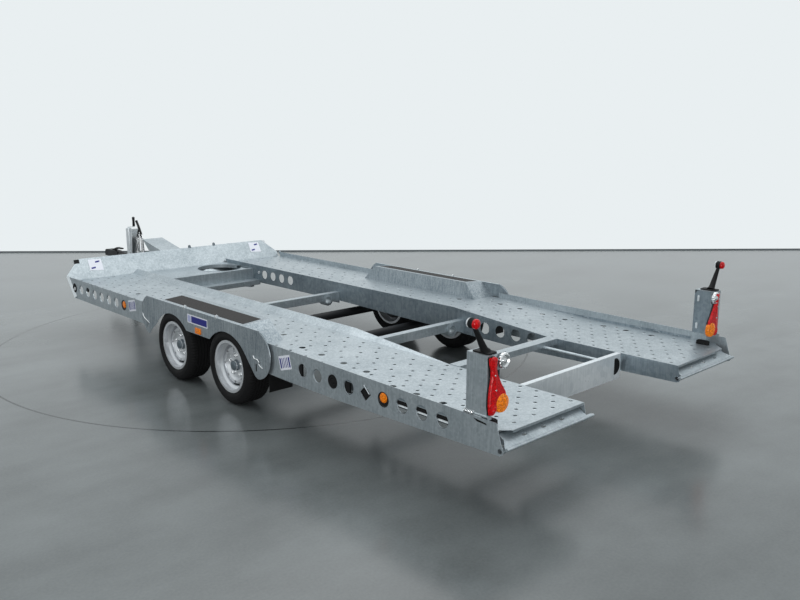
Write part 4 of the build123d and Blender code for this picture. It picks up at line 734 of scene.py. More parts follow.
def tread_points(sizes):
    """The tread's section from shoulder to shoulder: (from the tyre's middle plane, radius)."""
    floor = TREAD_RADIUS - sizes.groove / MM
    top_half, floor_half = GROOVE_HALVES
    pitch = 2 * TREAD_EDGE / (sizes.grooves + 1)
    found = []
    for middle in (TREAD_EDGE - pitch * (i + 1) for i in range(sizes.grooves)):
        found += [(middle + top_half, TREAD_RADIUS), (middle + floor_half, floor),
                  (middle - floor_half, floor), (middle - top_half, TREAD_RADIUS)]
    return found


def tread_tyre(centre):
    """One tyre: beads, ringed sidewalls, grooved tread and cut shoulder blocks."""
    sizes = bpy.context.scene.transporter_wheel
    section = list(SIDEWALL) + tread_points(sizes) + [(-u, r) for u, r in reversed(SIDEWALL)]
    steps = sizes.tread_pitches * RINGS_PER_PITCH
    mesh = bmesh.new()
    rings = []
    for k in range(steps):
        angle = 2 * math.pi * k / steps
        ring = []
        for u, r in section:
            block = r > SHOULDER[1] and abs(u) > SHOULDER[0]
            reach = r - (SHOULDER_CUT if block and k % RINGS_PER_PITCH == 0 else 0.0)
            lift = Vector((u, reach * math.cos(angle), reach * math.sin(angle))) * MM
            ring.append(mesh.verts.new(centre + lift))
        rings.append(ring)
    bridged(mesh, rings + rings[:1])
    return mesh


class TRANSPORTER_OT_tyres(bpy.types.Operator):
    """Make the four tyres with their tread"""
    bl_idname = "transporter.tyres"
    bl_label = "Tyres"

    def execute(self, context):
        for place in (end + "_" + side for end in ("front", "rear") for side, _ in SIDES):
            low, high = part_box("tyre_" + place)
            mesh = tread_tyre((low + high) / 2)
            made = piece("treaded_tyre_" + place, mesh, "wheel_" + place, "tyre_rubber", smooth=True)
            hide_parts("tyre_" + place)
        return {"FINISHED"}


WHEEL_FACE = 62.0        # how far the disc stands inside the rim's edge
STUD_RING = 70.0
STUD_TURN = 0.3
STUDS = 5
OUTWARD = (-1, 0, 0)     # out of the left side


def wheel_centre(end):
    """Middle of the left wheel's outer face."""
    low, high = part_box("rim_" + end + "_left")
    return Vector((low.x, (low.y + high.y) / 2, (low.z + high.z) / 2))


def wheel_nuts(centre):
    """Nuts with round collars and the stud ends that stand out of them."""
    meshes = []
    for i in range(STUDS):
        angle = 2 * math.pi * i / STUDS + STUD_TURN
        spot = centre + Vector((WHEEL_FACE, STUD_RING * math.cos(angle), STUD_RING * math.sin(angle))) * MM
        meshes.append(disc(spot, OUTWARD, 14.5, 5.0, 2.0, 24))
        meshes.append(hexagon(spot + Vector((-4, 0, 0)) * MM, OUTWARD, 19.5, 13.0))
        meshes.append(disc(spot + Vector((-15, 0, 0)) * MM, OUTWARD, 6.0, 6.0, 1.5, 16))
    return joined(meshes)


def hub_cap(centre):
    """Pressed dust cap over the hub, with a rolled edge and an open back."""
    profile = [(0, 36), (4, 37.5), (8, 36.5), (10, 33.5), (26, 32.5), (31, 30), (34, 25), (35.5, 12),
               (36, 0)]
    return turned(profile, centre + Vector((WHEEL_FACE + 1.0, 0, 0)) * MM, OUTWARD, 48, closed=False)


def valve(centre):
    """Rubber valve with its cap, low on the rim."""
    foot = centre + Vector((58.0, -30.0, -132.0)) * MM
    tip = foot + Vector((-30.0, 4.0, 12.0)) * MM
    return joined([rod([foot, (foot + tip) / 2, tip], 5.0, 12), disc(tip, tip - foot, 4.4, 12.0, 1.2, 14)])


class TRANSPORTER_OT_wheel_fittings(bpy.types.Operator):
    """Make the wheels' nuts, dust caps and valves"""
    bl_idname = "transporter.wheel_fittings"
    bl_label = "Wheel fittings"

    def execute(self, context):
        for end in ("front", "rear"):
            centre = wheel_centre(end)
            body = "wheel_" + end + "_{side}"
            both("wheel_nuts_" + end, lambda: wheel_nuts(centre), body, "bright_plated")
            both("hub_cap_" + end, lambda: hub_cap(centre), body, "dull_steel", smooth=True)
            both("valve_" + end, lambda: valve(centre), body, "black_rubber", smooth=True)
        return {"FINISHED"}


# ---- mudguards ---------------------------------------------------------------------------

GUARD_FACE = -1163.0
GUARD_ROUND = 577.0       # height of the guard's outer upper edge
GUARD_CLIPS = (177.0, -251.0)
LATCH_SLOTS = ((735.0, 362.0), (-727.0, 332.0))    # lengthwise place and height
GUARD_CARD = (510.0, 23.0)      # height of the label's middle, half the height of what is on it
REFLECTOR = (-10.0, 440.0)      # its lengthwise place and height
CARD_CORNER = 4.0
FILM = 0.5                      # thickness of a label


def guard_bead():
    """Rolled edges of the guard: along its top and round its two end lobes."""
    x = GUARD_FACE + 1.0
    top = [at(x + 2.0, y, GUARD_ROUND - 1.5) for y in (740.0, 300.0, -300.0, -764.0)]
    front = [at(x, y, z) for y, z in ((750, 573), (800, 541), (834, 500), (849, 452), (846, 404))]
    rear = [at(x, y, z) for y, z in ((-774, 573), (-834, 534), (-870, 490), (-886, 445), (-884, 400))]
    return joined([rod(top, 3.6, 10, rounded=False), rod(front, 3.0, 10), rod(rear, 3.4, 10)])


def guard_clips():
    """Small bent clips over the guard's upper edge."""
    meshes = []
    for y in GUARD_CLIPS:
        corners = ((-9, 566), (9, 566), (7, 586), (-7, 586))
        meshes.append(plate([at(GUARD_FACE - 2.0, y + v, z) for v, z in corners], (3.0, 0, 0), 0.6))
        bend = ((1.0, 584), (8.0, 592), (20.0, 584))
        meshes.append(rod([at(GUARD_FACE + u, y, z) for u, z in bend], 3.0, 8))
    return joined(meshes)


def latch_rods():
    """Bent wire latches that hook into the slots in the guard's two lower lobes."""
    x = GUARD_FACE - 4.0
    front = ((1, 826, 430), (-1, 806, 408), (-2, 784, 396), (0, 764, 388), (5, 746, 372), (9, 750, 352))
    rear = ((3, -698, 404), (-2, -722, 392), (-3, -752, 392), (-2, -768, 380), (-2, -766, 366),
            (0, -782, 352), (6, -796, 340))
    return joined([rod([at(x + u, y, z) for u, y, z in wire], radius, 10)
                   for wire, radius in ((front, 4.0), (rear, 4.6))])


def latch_slot_shades():
    """Black plates just behind the slots that the latches hook into: painted shade for the dark inside of
    the slots.
    """
    x = GUARD_FACE + 3.0
    return joined([plate(rounded_loop(lambda u, v: at(x, y + u, z + v), 9.0, 27.0, 8.0), (4.0, 0, 0), 0.6)
                   for y, z in LATCH_SLOTS])


def rounded_loop(place, half_u, half_v, radius, steps=4):
    """Corners of a rectangle rounded by radius; place(u, v) puts each point."""
    points = []
    for turn, (cu, cv) in enumerate(((1, 1), (-1, 1), (-1, -1), (1, -1))):
        for i in range(steps + 1):
            angle = math.pi / 2 * (turn + i / steps)
            u = cu * (half_u - radius) + radius * math.cos(angle)
            v = cv * (half_v - radius) + radius * math.sin(angle)
            points.append(place(u, v))
    return points


def label_card(x, y, z, half_length, half_height, turn=0.0):
    """A blank card of film on the left side, turned by so many degrees."""
    c, s = math.cos(math.radians(turn)), math.sin(math.radians(turn))
    loop = rounded_loop(
        lambda u, v: at(x, y + c * u - s * v, z + s * u + c * v), half_length, half_height, CARD_CORNER)
    return plate(loop, (-FILM, 0, 0), 0.15)


def striped_card(x, y, z, half_length, stripes, turn):
    """Narrow plain bands across a card: each is a place across it and half its height. A band
    whose half height is under CARD_CORNER has slightly pinched ends."""
    c, s = math.cos(math.radians(turn)), math.sin(math.radians(turn))
    return joined([label_card(x, y - s * v, z + c * v, half_length, half, turn) for v, half in stripes])


class TRANSPORTER_OT_mudguard_fittings(bpy.types.Operator):
    """Make the mudguards' beads, clips, wire latches and blank labels"""
    bl_idname = "transporter.mudguard_fittings"
    bl_label = "Mudguard fittings"

    def execute(self, context):
        both("guard_bead", guard_bead, "chassis", "galvanised", smooth=True)
        both("guard_clips", guard_clips, "chassis", "bright_plated", smooth=True)
        both("latch_rods", latch_rods, "chassis", "bright_plated", smooth=True)
        both("latch_slot_shades", latch_slot_shades, "chassis", "black_rubber")
        z, half = GUARD_CARD
        for name, off, y, half_length, half_height, finish in (
                ("guard_label", 0.1, -3, 138.0, 31.0, "label"),
                ("guard_label_band", 0.6, -28, 106.0, half, "label_band"),
                ("guard_label_panel", 0.6, 106, 20.0, half, "label_pale")):
            both(name, lambda: label_card(GUARD_FACE - off, y, z, half_length, half_height),
                 "chassis", finish, "clear_lens")
        return {"FINISHED"}


# ---- rails -------------------------------------------------------------------------------

RAIL_FACE = -1146.0
HOLE_PITCH = 142.5
FRONT_HOLES = [2202.0 - HOLE_PITCH * i for i in range(8)]
REAR_HOLES = [-2335.0 + HOLE_PITCH * i for i in range(9)]
FRONT_HOLE_Z, REAR_HOLE_Z = 430.0, 412.0
HOLE_RADIUS = 42.5
REAR_LAMP_HOLE, REAR_PLUG_HOLE = 3, 6       # which of the rear holes
BARE_REAR_HOLES = (3, 4)                    # the side lamp's and one without a collar
LABEL_STRIPES = ((46.0, 7.0), (26.0, 3.5), (9.0, 3.0), (-8.0, 3.0), (-25.0, 3.5), (-45.0, 7.0))


def hole_collars():
    """The short inward collar that the punch leaves round most holes of a rail."""
    profile = [(0.0, HOLE_RADIUS + 0.2), (-1.0, HOLE_RADIUS + 4.0), (4.0, HOLE_RADIUS + 1.0),
               (9.0, HOLE_RADIUS - 1.5), (8.0, HOLE_RADIUS - 3.0), (3.0, HOLE_RADIUS - 0.6)]
    places = [(y, FRONT_HOLE_Z) for y in FRONT_HOLES[:-1]]
    places += [(y, REAR_HOLE_Z) for i, y in enumerate(REAR_HOLES) if i not in BARE_REAR_HOLES]
    return joined([turned(profile, at(RAIL_FACE + 0.8, y, z), (1, 0, 0), 40) for y, z in places])


def side_lamp_bezels():
    """Black seats of the amber side lamps, set into their holes."""
    seat = [(-6.0, 0.0), (-6.0, 38.0), (-2.0, 42.0), (1.0, 42.0), (1.0, 39.0), (-3.0, 35.0), (-3.0, 0.0)]
    return joined([turned(seat, at(RAIL_FACE, y, z), OUTWARD, 40, closed=False)
                   for y, z in ((FRONT_HOLES[-1], FRONT_HOLE_Z), (REAR_HOLES[REAR_LAMP_HOLE], REAR_HOLE_Z))])


def side_lamp_lenses():
    """The amber lenses of both sides, high in their seats, and the reflectors on the guards, which share the
    lenses' painted glow.
    """
    meshes = []
    for mirror in (False, True):
        lenses = [dome(at(RAIL_FACE + 6.0, y, z), OUTWARD, 28.0, 9.0)
                  for y, z in ((FRONT_HOLES[-1] - 3.0, 434.0), (REAR_HOLES[REAR_LAMP_HOLE] + 1.0, 421.0))]
        y, z = REFLECTOR
        loop = rounded_loop(lambda u, v: at(GUARD_FACE, y + u, z + v), 36.0, 21.0, 5.0)
        side = joined([*lenses, plate(loop, (-6.0, 0, 0), 1.2)])
        meshes.append(mirrored(side) if mirror else side)
    return joined(meshes)


def hole_plugs():
    """A ribbed rubber plug in one rear hole of the rail and a cable's round end in a front one."""
    ribs = [(0.0, 0.0), (0.0, 40.0), (4.0, 40.0), (6.0, 37.0), (3.0, 33.0), (3.0, 29.0), (6.0, 26.0),
            (6.0, 22.0), (3.0, 19.0), (3.0, 14.0), (7.0, 11.0), (7.0, 0.0)]
    rear = at(RAIL_FACE + 4.5, REAR_HOLES[REAR_PLUG_HOLE], REAR_HOLE_Z)
    return joined([
        turned(ribs, rear, OUTWARD, 36, closed=False),
        disc(at(RAIL_FACE + 3.5, FRONT_HOLES[2] - 4.0, 452), OUTWARD, 20.0, 5.0, 2.0, 36)])


def raked_flange():
    """Bent edge down the rail's raked front end, leaning out from the rail, in the brightest zinc as painted
    highlight.
    """
    top, foot = (2348.0, 509.0), (2192.0, 340.0)
    run = math.hypot(top[0] - foot[0], top[1] - foot[1])
    back = (-(top[1] - foot[1]) / run, (top[0] - foot[0]) / run)
    section = ((1.0, 1.0), (1.0, -11.0), (4.0, -13.0), (30.0, -2.0), (34.0, -0.5))
    mesh = bmesh.new()
    ends = [[mesh.verts.new(at(RAIL_FACE + x, y + inward * back[0], z + inward * back[1]))
             for inward, x in section] for y, z in (top, foot)]
    bridged(mesh, ends)
    mesh.faces.new(ends[0])
    mesh.faces.new(list(reversed(ends[1])))
    return mesh


def rail_shade_strip_and_blocks():
    """A black strip behind the rail's rearmost holes, standing in as painted shade for the dark inside of
    them, black blocks behind three more holes, and a bush in the foremost hole."""
    meshes = []
    # The first is the strip behind the rearmost holes, a black sheet as painted shade.
    for y0, y1, z0, z1 in ((-2425.0, -1945.0, 414.0, 438.0), (-1822.0, -1700.0, 372.0, 438.0),
                           (-1628.0, -1576.0, 366.0, 440.0), (-1186.0, -1150.0, 372.0, 450.0)):
        block = slab(at(RAIL_FACE + 5.0, y0, z0), at(RAIL_FACE + 17.0, y1, z1))
        bmesh.ops.bevel(block, geom=block.edges[:], offset=2.0 * MM, segments=2, affect="EDGES")
        meshes.append(block)
    bush = [(-4.0, 24.0), (-4.0, 36.0), (-1.0, 41.5), (6.0, 41.5), (6.0, 38.0), (3.0, 24.0)]
    meshes.append(turned(bush, at(RAIL_FACE, FRONT_HOLES[0], FRONT_HOLE_Z), (1, 0, 0), 40))
    return joined(meshes)


def rail_lips_painted_highlight():
    """Turned-in edge low in the rearmost holes and a wire on the square opening, in the brightest zinc as
    painted highlight.
    """
    corners = ((9.0, -2440, 402), (9.0, -1950, 402), (15.0, -1950, 411), (15.0, -2440, 411))
    strip = plate([at(RAIL_FACE + x, y, z) for x, y, z in corners], (1.5, 0, 0), 0.5)
    wire = rod([at(RAIL_FACE - 0.5, y, z) for y, z in ((-1752, 456), (-1797, 413))], 2.6, 8)
    return joined([strip, wire])


def rail_hole_shade_strips():
    """Strip that closes the rail's rear holes above the deck, in the darker web zinc as painted shade."""
    corners = ((-1330, 457), (-1330, 447), (-1750, 440), (-2440, 439), (-2440, 457))
    return plate([at(-1139.5, y, z) for y, z in corners], (-3.0, 0, 0), 0.8)


class TRANSPORTER_OT_rail_fittings(bpy.types.Operator):
    """Make the rails' collars, side lamps with the guards' reflectors, linings, plugs and labels, and the
    strips and edges of painted shade and painted highlight
    """
    bl_idname = "transporter.rail_fittings"
    bl_label = "Rail fittings"

    def execute(self, context):
        both("hole_collars", hole_collars, "chassis", "galvanised", smooth=True)
        both("side_lamp_bezels", side_lamp_bezels, "chassis", "black_plastic", "black_rubber", smooth=True)
        lenses = piece("side_lamp_lenses", side_lamp_lenses(), "chassis", "amber_lens", smooth=True)
        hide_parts("side_lamps")
        both("rail_shade_strip_and_blocks", rail_shade_strip_and_blocks, "chassis", "black_rubber")
        both("rail_lips_painted_highlight", rail_lips_painted_highlight, "chassis", "pale_zinc_and_painted_highlight", "galvanised")
        both("rail_hole_shade_strips", rail_hole_shade_strips, "chassis", "shaded_web_zinc", "galvanised")
        both("hole_plugs", hole_plugs, "chassis", "black_rubber", smooth=True)
        both("raked_flanges_painted_highlight", raked_flange, "chassis", "pale_zinc_and_painted_highlight", "galvanised")
        for name, y, z, turn in (
                ("rail_label_front", 1053.0, 450.0, -12.0), ("rail_label_rear", -1020.0, 424.0, -16.0)):
            both(name, lambda: label_card(RAIL_FACE - 0.1, y, z, 60.0, 44.0, turn),
                 "chassis", "label", "clear_lens")
            both(name + "_bands",
                 lambda: striped_card(RAIL_FACE - 0.6, y, z, 32.0, LABEL_STRIPES, turn + 90.0),
                 "chassis", "label_band", "clear_lens")
        return {"FINISHED"}


# ---- rear lamps --------------------------------------------------------------------------

LAMP_BACK = -2618.0      # the plate that carries a rear lamp
LAMP_SIDE = -1146.0      # its outer side
LAMP_SHIFT = {"left": -5.0, "right": 50.0}    # how far in from its solid's place each lamp is drawn
BACKWARD = (0, -1, 0)    # out of the trailer's rear
RIDGE = ((24, 776), (28, 715), (40, 628), (24, 552))    # of the red lens: across and height
POST_INNER = LAMP_SIDE + 92.0       # the inner side of a lamp post
PANEL_SLOTS = ((-2516.0, 740.0), (-2516.0, 560.0))
FOLD_AXIS = (-1140.0, 504.1)        # across and height
SPRING_START, SPRING_LENGTH = -2544.0, 66.0
SPRING_RADIUS, SPRING_WIRE, SPRING_TURNS, SPRING_STEPS = 12.5, 2.2, 7, 10
BUFFER = (-1062.0, -2566.0)
LAMP_LENS = (-1059.0, 560.0)
LAMP_BRAKE = (-1119.0, 546.0)
KNOB = (-1049.0, 760.0)
STALK_HEAD = (-1198.0, -2569.0, 949.0)


def lamp_loop(inset, y):
    """Outline of the rear lamp: ears, a narrow waist, then a wide body and a small foot."""
    corners = ((2, 784), (10, 790), (20, 785), (30, 791), (44, 789), (54, 778), (50, 758), (50, 730),
               (56, 706), (88, 650), (114, 614), (119, 600), (114, 588), (70, 548), (42, 516), (24, 510),
               (6, 516), (0, 560), (1, 612), (9, 660), (16, 700), (14, 730), (5, 756))
    middle, top, bottom = 34.0, 780, 545
    points = []
    for x, z in corners:
        across = inset if x > middle else -inset
        up = inset if z > top else (-inset if z < bottom else 0.0)
        points.append(at(LAMP_SIDE + x - across, y, z - up))
    return points


def lamp_housing():
    """Black back of the rear lamp, with a cable gland under its foot."""
    profile = ((0, 0), (0, 9), (12, 8), (14, 6), (14, 0))
    gland = turned(profile, at(LAMP_SIDE + 14.0, LAMP_BACK - 4.0, 528), (0, 0, -1), 20, closed=False)
    return joined([plate(lamp_loop(0.0, LAMP_BACK), (0, -9.0, 0), 1.5), gland])


def lamp_red_face():
    """The red lens: a shallow dish of plastic whose face rises to a sharp ridge."""
    mesh = bmesh.new()
    rims = [[mesh.verts.new(p) for p in lamp_loop(inset, LAMP_BACK - depth)]
            for inset, depth in ((1.0, 3.0), (1.0, 19.0), (4.0, 22.5))]
    bridged(mesh, rims)
    ridge = [mesh.verts.new(at(LAMP_SIDE + x, LAMP_BACK - 27.0, z)) for x, z in RIDGE]
    rim = rims[-1]
    nearest = [min(ridge, key=lambda r: abs(r.co.z - v.co.z)) for v in rim]
    for i in range(len(rim)):
        j = (i + 1) % len(rim)
        mesh.faces.new(distinct([rim[i], rim[j], nearest[j], nearest[i]]))
    mesh.faces.new(list(reversed(rims[0])))
    bmesh.ops.triangulate(mesh, faces=[f for f in mesh.faces if len(f.verts) == 4])
    return mesh


def fluted_lens(centre, radius, depth, flutes):
    """A round lens whose face is cut in fans round a small middle. Millimetres."""
    steps = 72
    mesh = bmesh.new()
    rings = []
    for share, rise, cut in ((1.0, 0.0, 0.0), (1.0, 0.55, 0.0), (0.93, 0.8, 0.25), (0.7, 0.92, 0.6),
                             (0.45, 1.0, 0.6), (0.3, 0.85, 0.0), (0.2, 1.0, 0.0)):
        ring = []
        for k in range(steps):
            angle = 2 * math.pi * k / steps
            dip = cut * 3.0 * (0.5 + 0.5 * math.cos(flutes * angle))
            out = depth * rise - dip * min(1.0, rise)
            ring.append(mesh.verts.new(centre + Vector((
                radius * share * math.cos(angle), -out, radius * share * math.sin(angle))) * MM))
        rings.append(ring)
    bridged(mesh, rings)
    mesh.faces.new(rings[-1])
    mesh.faces.new(list(reversed(rings[0])))
    return mesh


def lamp_screws():
    """Bright screws on the lamp's ridge."""
    return joined([disc(at(LAMP_SIDE + x, LAMP_BACK - 25.5, z), BACKWARD, 4.5, 4.0, 1.2, 16)
                   for x, z in ((30.0, 704.0), (38.0, 632.0))])


def rubber_stalk():
    """Marker lamp's rubber mount: a rounded cap on the post, a tapered stalk with a flared foot
    and a grooved drum that holds both lenses."""
    loop = rounded_loop(lambda u, v: at(-1104 + u, -2563 + v, 797), 33.0, 52.0, 12.0)
    cap = plate(loop, (0, 0, 6.0), 2.0)
    foot, head = at(-1109, -2570, 800), at(*STALK_HEAD)
    length = (head - foot).length / MM
    profile = [(0, 0), (0, 27), (6, 24), (14, 19), (30, 17.5), (length - 24, 10.5), (length - 8, 12.5),
               (length, 13.0), (length, 0)]
    stalk = turned(profile, foot, (head - foot).normalized(), 24, closed=False)
    half = [(2, 23), (3, 24.5), (12, 24.5), (15, 22.5), (15, 0)]
    drum = [(-along, radius) for along, radius in reversed(half)] + half
    return joined([cap, stalk, turned(drum, head, (0, 1, 0), 36, closed=False)])


def fluted_knob():
    """Plated knob behind the lamp plate: a fluted ring with a dished face."""
    steps, flutes, flute = 96, 16, 3.0
    centre = at(KNOB[0], LAMP_BACK, KNOB[1])
    mesh = bmesh.new()
    rings = []
    for depth, radius, fluted in ((0, 12, 0), (-4, 12, 0), (-4, 36, 1), (-8, 39, 1), (-20, 39, 1),
                                  (-24, 36, 1), (-25, 30, 0), (-20, 26, 0), (-16, 22, 0)):
        ring = []
        for k in range(steps):
            angle = 2 * math.pi * k / steps
            r = radius - (flute * (0.5 + 0.5 * math.cos(flutes * angle)) if fluted else 0.0)
            spot = Vector((r * math.cos(angle), depth, r * math.sin(angle)))
            ring.append(mesh.verts.new(centre + spot * MM))
        rings.append(ring)
    bridged(mesh, rings)
    mesh.faces.new(list(reversed(rings[0])))
    mesh.faces.new(rings[-1])
    return mesh


def knob_face():
    """The knob's boss, stepped down to its screw's hexagon."""
    radius = 21.0
    centre = at(KNOB[0], LAMP_BACK - 16.0, KNOB[1])
    return joined([disc(centre, BACKWARD, radius, 5.0, 2.0, 32),
                   disc(centre + Vector((0, -5.0 * MM, 0)), BACKWARD, radius * 0.66, 4.0, 2.0, 32),
                   hexagon(centre + Vector((0, -9.0 * MM, 0)), BACKWARD, 15.0, 5.0)])


def hinge_spring():
    """Coil spring round the axis that the lamp post folds on, and the short tail of its wire. It
    turns with the post. Its coils run through the hinge's lugs and the rail's upper edge."""
    x, z = FOLD_AXIS
    count = SPRING_TURNS * SPRING_STEPS
    points = []
    for i in range(count + 1):
        angle = 2 * math.pi * i / SPRING_STEPS
        points.append(at(x + SPRING_RADIUS * math.cos(angle), SPRING_START + SPRING_LENGTH * i / count,
                         z + SPRING_RADIUS * math.sin(angle)))
    tail = [points[-1], points[-1] + Vector((4, 6, -14)) * MM]
    return joined([rod(wire, SPRING_WIRE, 6, rounded=False) for wire in (points, tail)])


def hinge_shadow():
    """Black film on the rail's face near its upper edge, below the hinge: painted shadow of the hinge."""
    corners = ((-2538, 483), (-2616, 474), (-2622, 466), (-2560, 470))
    return plate([at(RAIL_FACE - 0.2, y, z) for y, z in corners], (-0.8, 0, 0), 0.3)


def post_buffers():
    """Stepped rubber block under each lamp post's inner side, on the deck."""
    x, y = BUFFER
    return joined([
        plate(rounded_loop(lambda u, v: at(x + u, y + v, z), half_x, half_y, corner), (0, 0, height), edge)
        for z, half_x, half_y, corner, height, edge in (
            (441, 16.0, 40.0, 6.0, 24.0, 3.0), (465, 12.0, 34.0, 5.0, 4.0, 1.5))])


def post_panel():
    """Inner panel of the lamp post, cut off at its upper corners, with two long slots; it is dark from the
    darker web zinc, as painted shade.
    """
    outline = [(-2492.0, 512.0), (-2616.0, 512.0), (-2616.0, 770.0), (-2606.0, 790.0), (-2586.0, 794.0),
               (-2520.0, 794.0), (-2500.0, 788.0), (-2492.0, 770.0)]
    slots = [[(y, z - 22), (y - 9, z - 14), (y - 9, z + 14), (y, z + 22), (y + 9, z + 14), (y + 9, z - 14)]
             for y, z in PANEL_SLOTS]

    def place(u, v, w):
        return at(POST_INNER - 3.0, 0.0, 0.0) + Vector((w, u, v))

    rings = [[(u * MM, v * MM) for u, v in ring] for ring in (outline, *slots)]
    return punched_sheet(rings[0], rings[1:], place, 1.5 * MM, 3.0 * MM, 1.5 * MM)


def post_slot_highlights():
    """Pale pads in the panel's two long slots: painted highlight for the light seen through them."""
    return joined([
        plate(rounded_loop(lambda u, v: at(POST_INNER, y + u, z + v), 7.5, 20.0, 7.0), (-2.0, 0, 0), 0.7)
        for y, z in PANEL_SLOTS])


class TRANSPORTER_OT_rear_lamps(bpy.types.Operator):
    """Make the rear lamps, their knobs and springs, and the marker lamps on rubber stalks"""
    bl_idname = "transporter.rear_lamps"
    bl_label = "Rear lamps"

    def execute(self, context):
        body = "lamp_post_{side}"
        parts = (
            ("lamp_housing", lamp_housing, "black_plastic", "black_rubber", False),
            ("lamp_red_face", lamp_red_face, "red_lens", None, False),
            ("lamp_screws", lamp_screws, "bright_plated", None, True),
            ("lamp_amber_lens", lambda: fluted_lens(
                at(LAMP_LENS[0], LAMP_BACK - 4.0, LAMP_LENS[1]), 47.0, 29.0, 18), "amber_lens", None, False),
            ("lamp_brake_lens", lambda: fluted_lens(
                at(LAMP_BRAKE[0], LAMP_BACK - 18.0, LAMP_BRAKE[1]), 21.0, 12.0, 12),
             "red_lens", None, False),
            ("lamp_reverse_lens", lambda: disc(
                at(LAMP_LENS[0] - 8.0, LAMP_BACK - 2.0, LAMP_LENS[1] - 6.0), BACKWARD, 44.0, 12.0, 3.0, 48),
             "clear_lens", None, True))
        for side, sign in SIDES:
            for name, make, finish, slot, smooth in parts:
                mesh = make() if sign < 0 else mirrored(make())
                bmesh.ops.translate(mesh, vec=(-sign * LAMP_SHIFT[side] * MM, 0, 0), verts=mesh.verts)
                made = piece(name + "_" + side, mesh, "lamp_post_" + side, finish, slot, smooth)
                if name == "lamp_housing":
                    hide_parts("rear_lamp_" + side)
        both("lamp_knob", fluted_knob, body, "bright_plated", smooth=True)
        both("lamp_knob_face", knob_face, body, "bright_plated")
        both("hinge_shadows", hinge_shadow, "chassis", "black_rubber")
        both("rubber_stalk", rubber_stalk, body, "black_rubber", smooth=True)
        x, y, z = STALK_HEAD
        both("stalk_red_lens", lambda: dome(at(x, y - 13.0, z), BACKWARD, 23.0, 22.0), body, "red_lens",
             smooth=True)
        both("stalk_clear_lens", lambda: dome(at(x, y + 13.0, z), (0, 1, 0), 23.0, 15.0), body, "clear_lens",
             smooth=True)
        both("post_buffers", post_buffers, "chassis", "black_rubber", smooth=True)
        both("post_panel", post_panel, body, "shaded_web_zinc", "galvanised")
        both("post_slot_highlights", post_slot_highlights, body, "pale_zinc_and_painted_highlight", "galvanised", smooth=True)
        both("hinge_spring", hinge_spring, body, "bright_plated", smooth=True)
        return {"FINISHED"}


# ---- between the tracks ------------------------------------------------------------------

BOSS_X, BOSS_Z = 352.0, 372.5
WEB_X = 481.0            # an inner web's face
PLUG_Y = -2318.5

def beam_boss_rings():
    """Bright sleeves in the bored bosses of the two beams across the bay."""
    sleeve = [(-3.0, 31.5), (-3.0, 36.0), (-1.0, 41.0), (1.0, 41.0), (1.0, 31.5)]
    meshes = []
    for node_name in ("bay_beam_front", "bay_beam_middle"):
        low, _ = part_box(node_name)
        for x in (-BOSS_X, BOSS_X):
            meshes.append(turned(sleeve, Vector((x * MM, low.y, BOSS_Z * MM)), (0, 1, 0), 36))
    return joined(meshes)


def beam_linings():
    """Black plug in the D-shaped opening at one end of the rear crossmember."""
    flat, middle_x, middle_z, radius = 413.0, 425.0, 365.0, 52.5
    corners = [(middle_x + radius * math.sin(math.radians(a)), middle_z + radius * math.cos(math.radians(a)))
               for a in range(0, 181, 12)]
    corners += [(flat, middle_z - radius), (flat, middle_z + radius)]
    return plate([at(-x, PLUG_Y, z) for x, z in corners], (0, 1.5, 0), 0.4)


def beam_bolts():
    """Bolt heads where the beams and channels meet the inner webs."""
    meshes = []
    for y, heights in ((1724.0, (350.0, 440.0)), (500.0, (378.0, 404.0)), (-965.0, (378.0, 404.0)),
                       (-1800.0, (418.0,))):
        for z in heights:
            for side in (-1, 1):
                spot = at(side * WEB_X, y, z)
                meshes.append(disc(spot, (-side, 0, 0), 14.0, 2.5, 1.0, 20))
                meshes.append(hexagon(spot + Vector((-side * 2.5 * MM, 0, 0)), (-side, 0, 0), 18.0, 9.0))
    return joined(meshes)


class TRANSPORTER_OT_bay_fittings(bpy.types.Operator):
    """Make the sleeves, plugs and bolts between the tracks"""
    bl_idname = "transporter.bay_fittings"
    bl_label = "Bay fittings"

    def execute(self, context):
        piece("beam_boss_rings", beam_boss_rings(), "chassis", "galvanised", smooth=True)
        piece("beam_bolts", beam_bolts(), "chassis", "bright_plated")
        both("beam_linings", beam_linings, "chassis", "black_rubber")
        return {"FINISHED"}


# ---- front -------------------------------------------------------------------------------

HEADBOARD_FOOT = (2351.0, 470.0)    # lengthwise place and height where it starts to lean forward
HEADBOARD_LEAN = 111.0 / 175.0
HEADBOARD_CARDS = (-856.0, 884.0)
HEADBOARD_CARD_Z = 583.0
HEADBOARD_CLIPS = (139.0, 417.0)

def lever_grip():
    """Black grip with a swollen end over the handbrake lever's upper arm."""
    points = [at(-58, y, z) for y, z in ((3113, 704), (3136, 752), (3170, 806), (3214, 862))]
    return joined([rod(points, 12.5, 16), disc(points[-1], points[-1] - points[-2], 14.0, 12.0, 5.0, 20)])


def winder_grip():
    """Black turning grip of the jockey wheel's winder."""
    profile = [(0, 0), (0, 11.5), (6, 14), (50, 12.5), (88, 14.5), (98, 12.5), (101, 0)]
    return turned(profile, at(-70, 3262, 811), (0, 0, 1), 28, closed=False)


def on_headboard(x, z, corners, off):
    """Points so far off the headboard's leaning rear face; corners are (across, up) from x, z."""
    foot_y, foot_z = HEADBOARD_FOOT
    return [at(x + u, foot_y + (z + v - foot_z) * HEADBOARD_LEAN - off, z + v) for u, v in corners]


def headboard_labels():
    """Blank cards near the two upper corners of the headboard's rear face."""
    corners = ((-62.0, -44.0), (62.0, -52.0), (66.0, 44.0), (-58.0, 50.0))
    return joined([
        plate(on_headboard(x, HEADBOARD_CARD_Z, corners, 1.2), (0, -0.6, 0), 0.15) for x in HEADBOARD_CARDS])


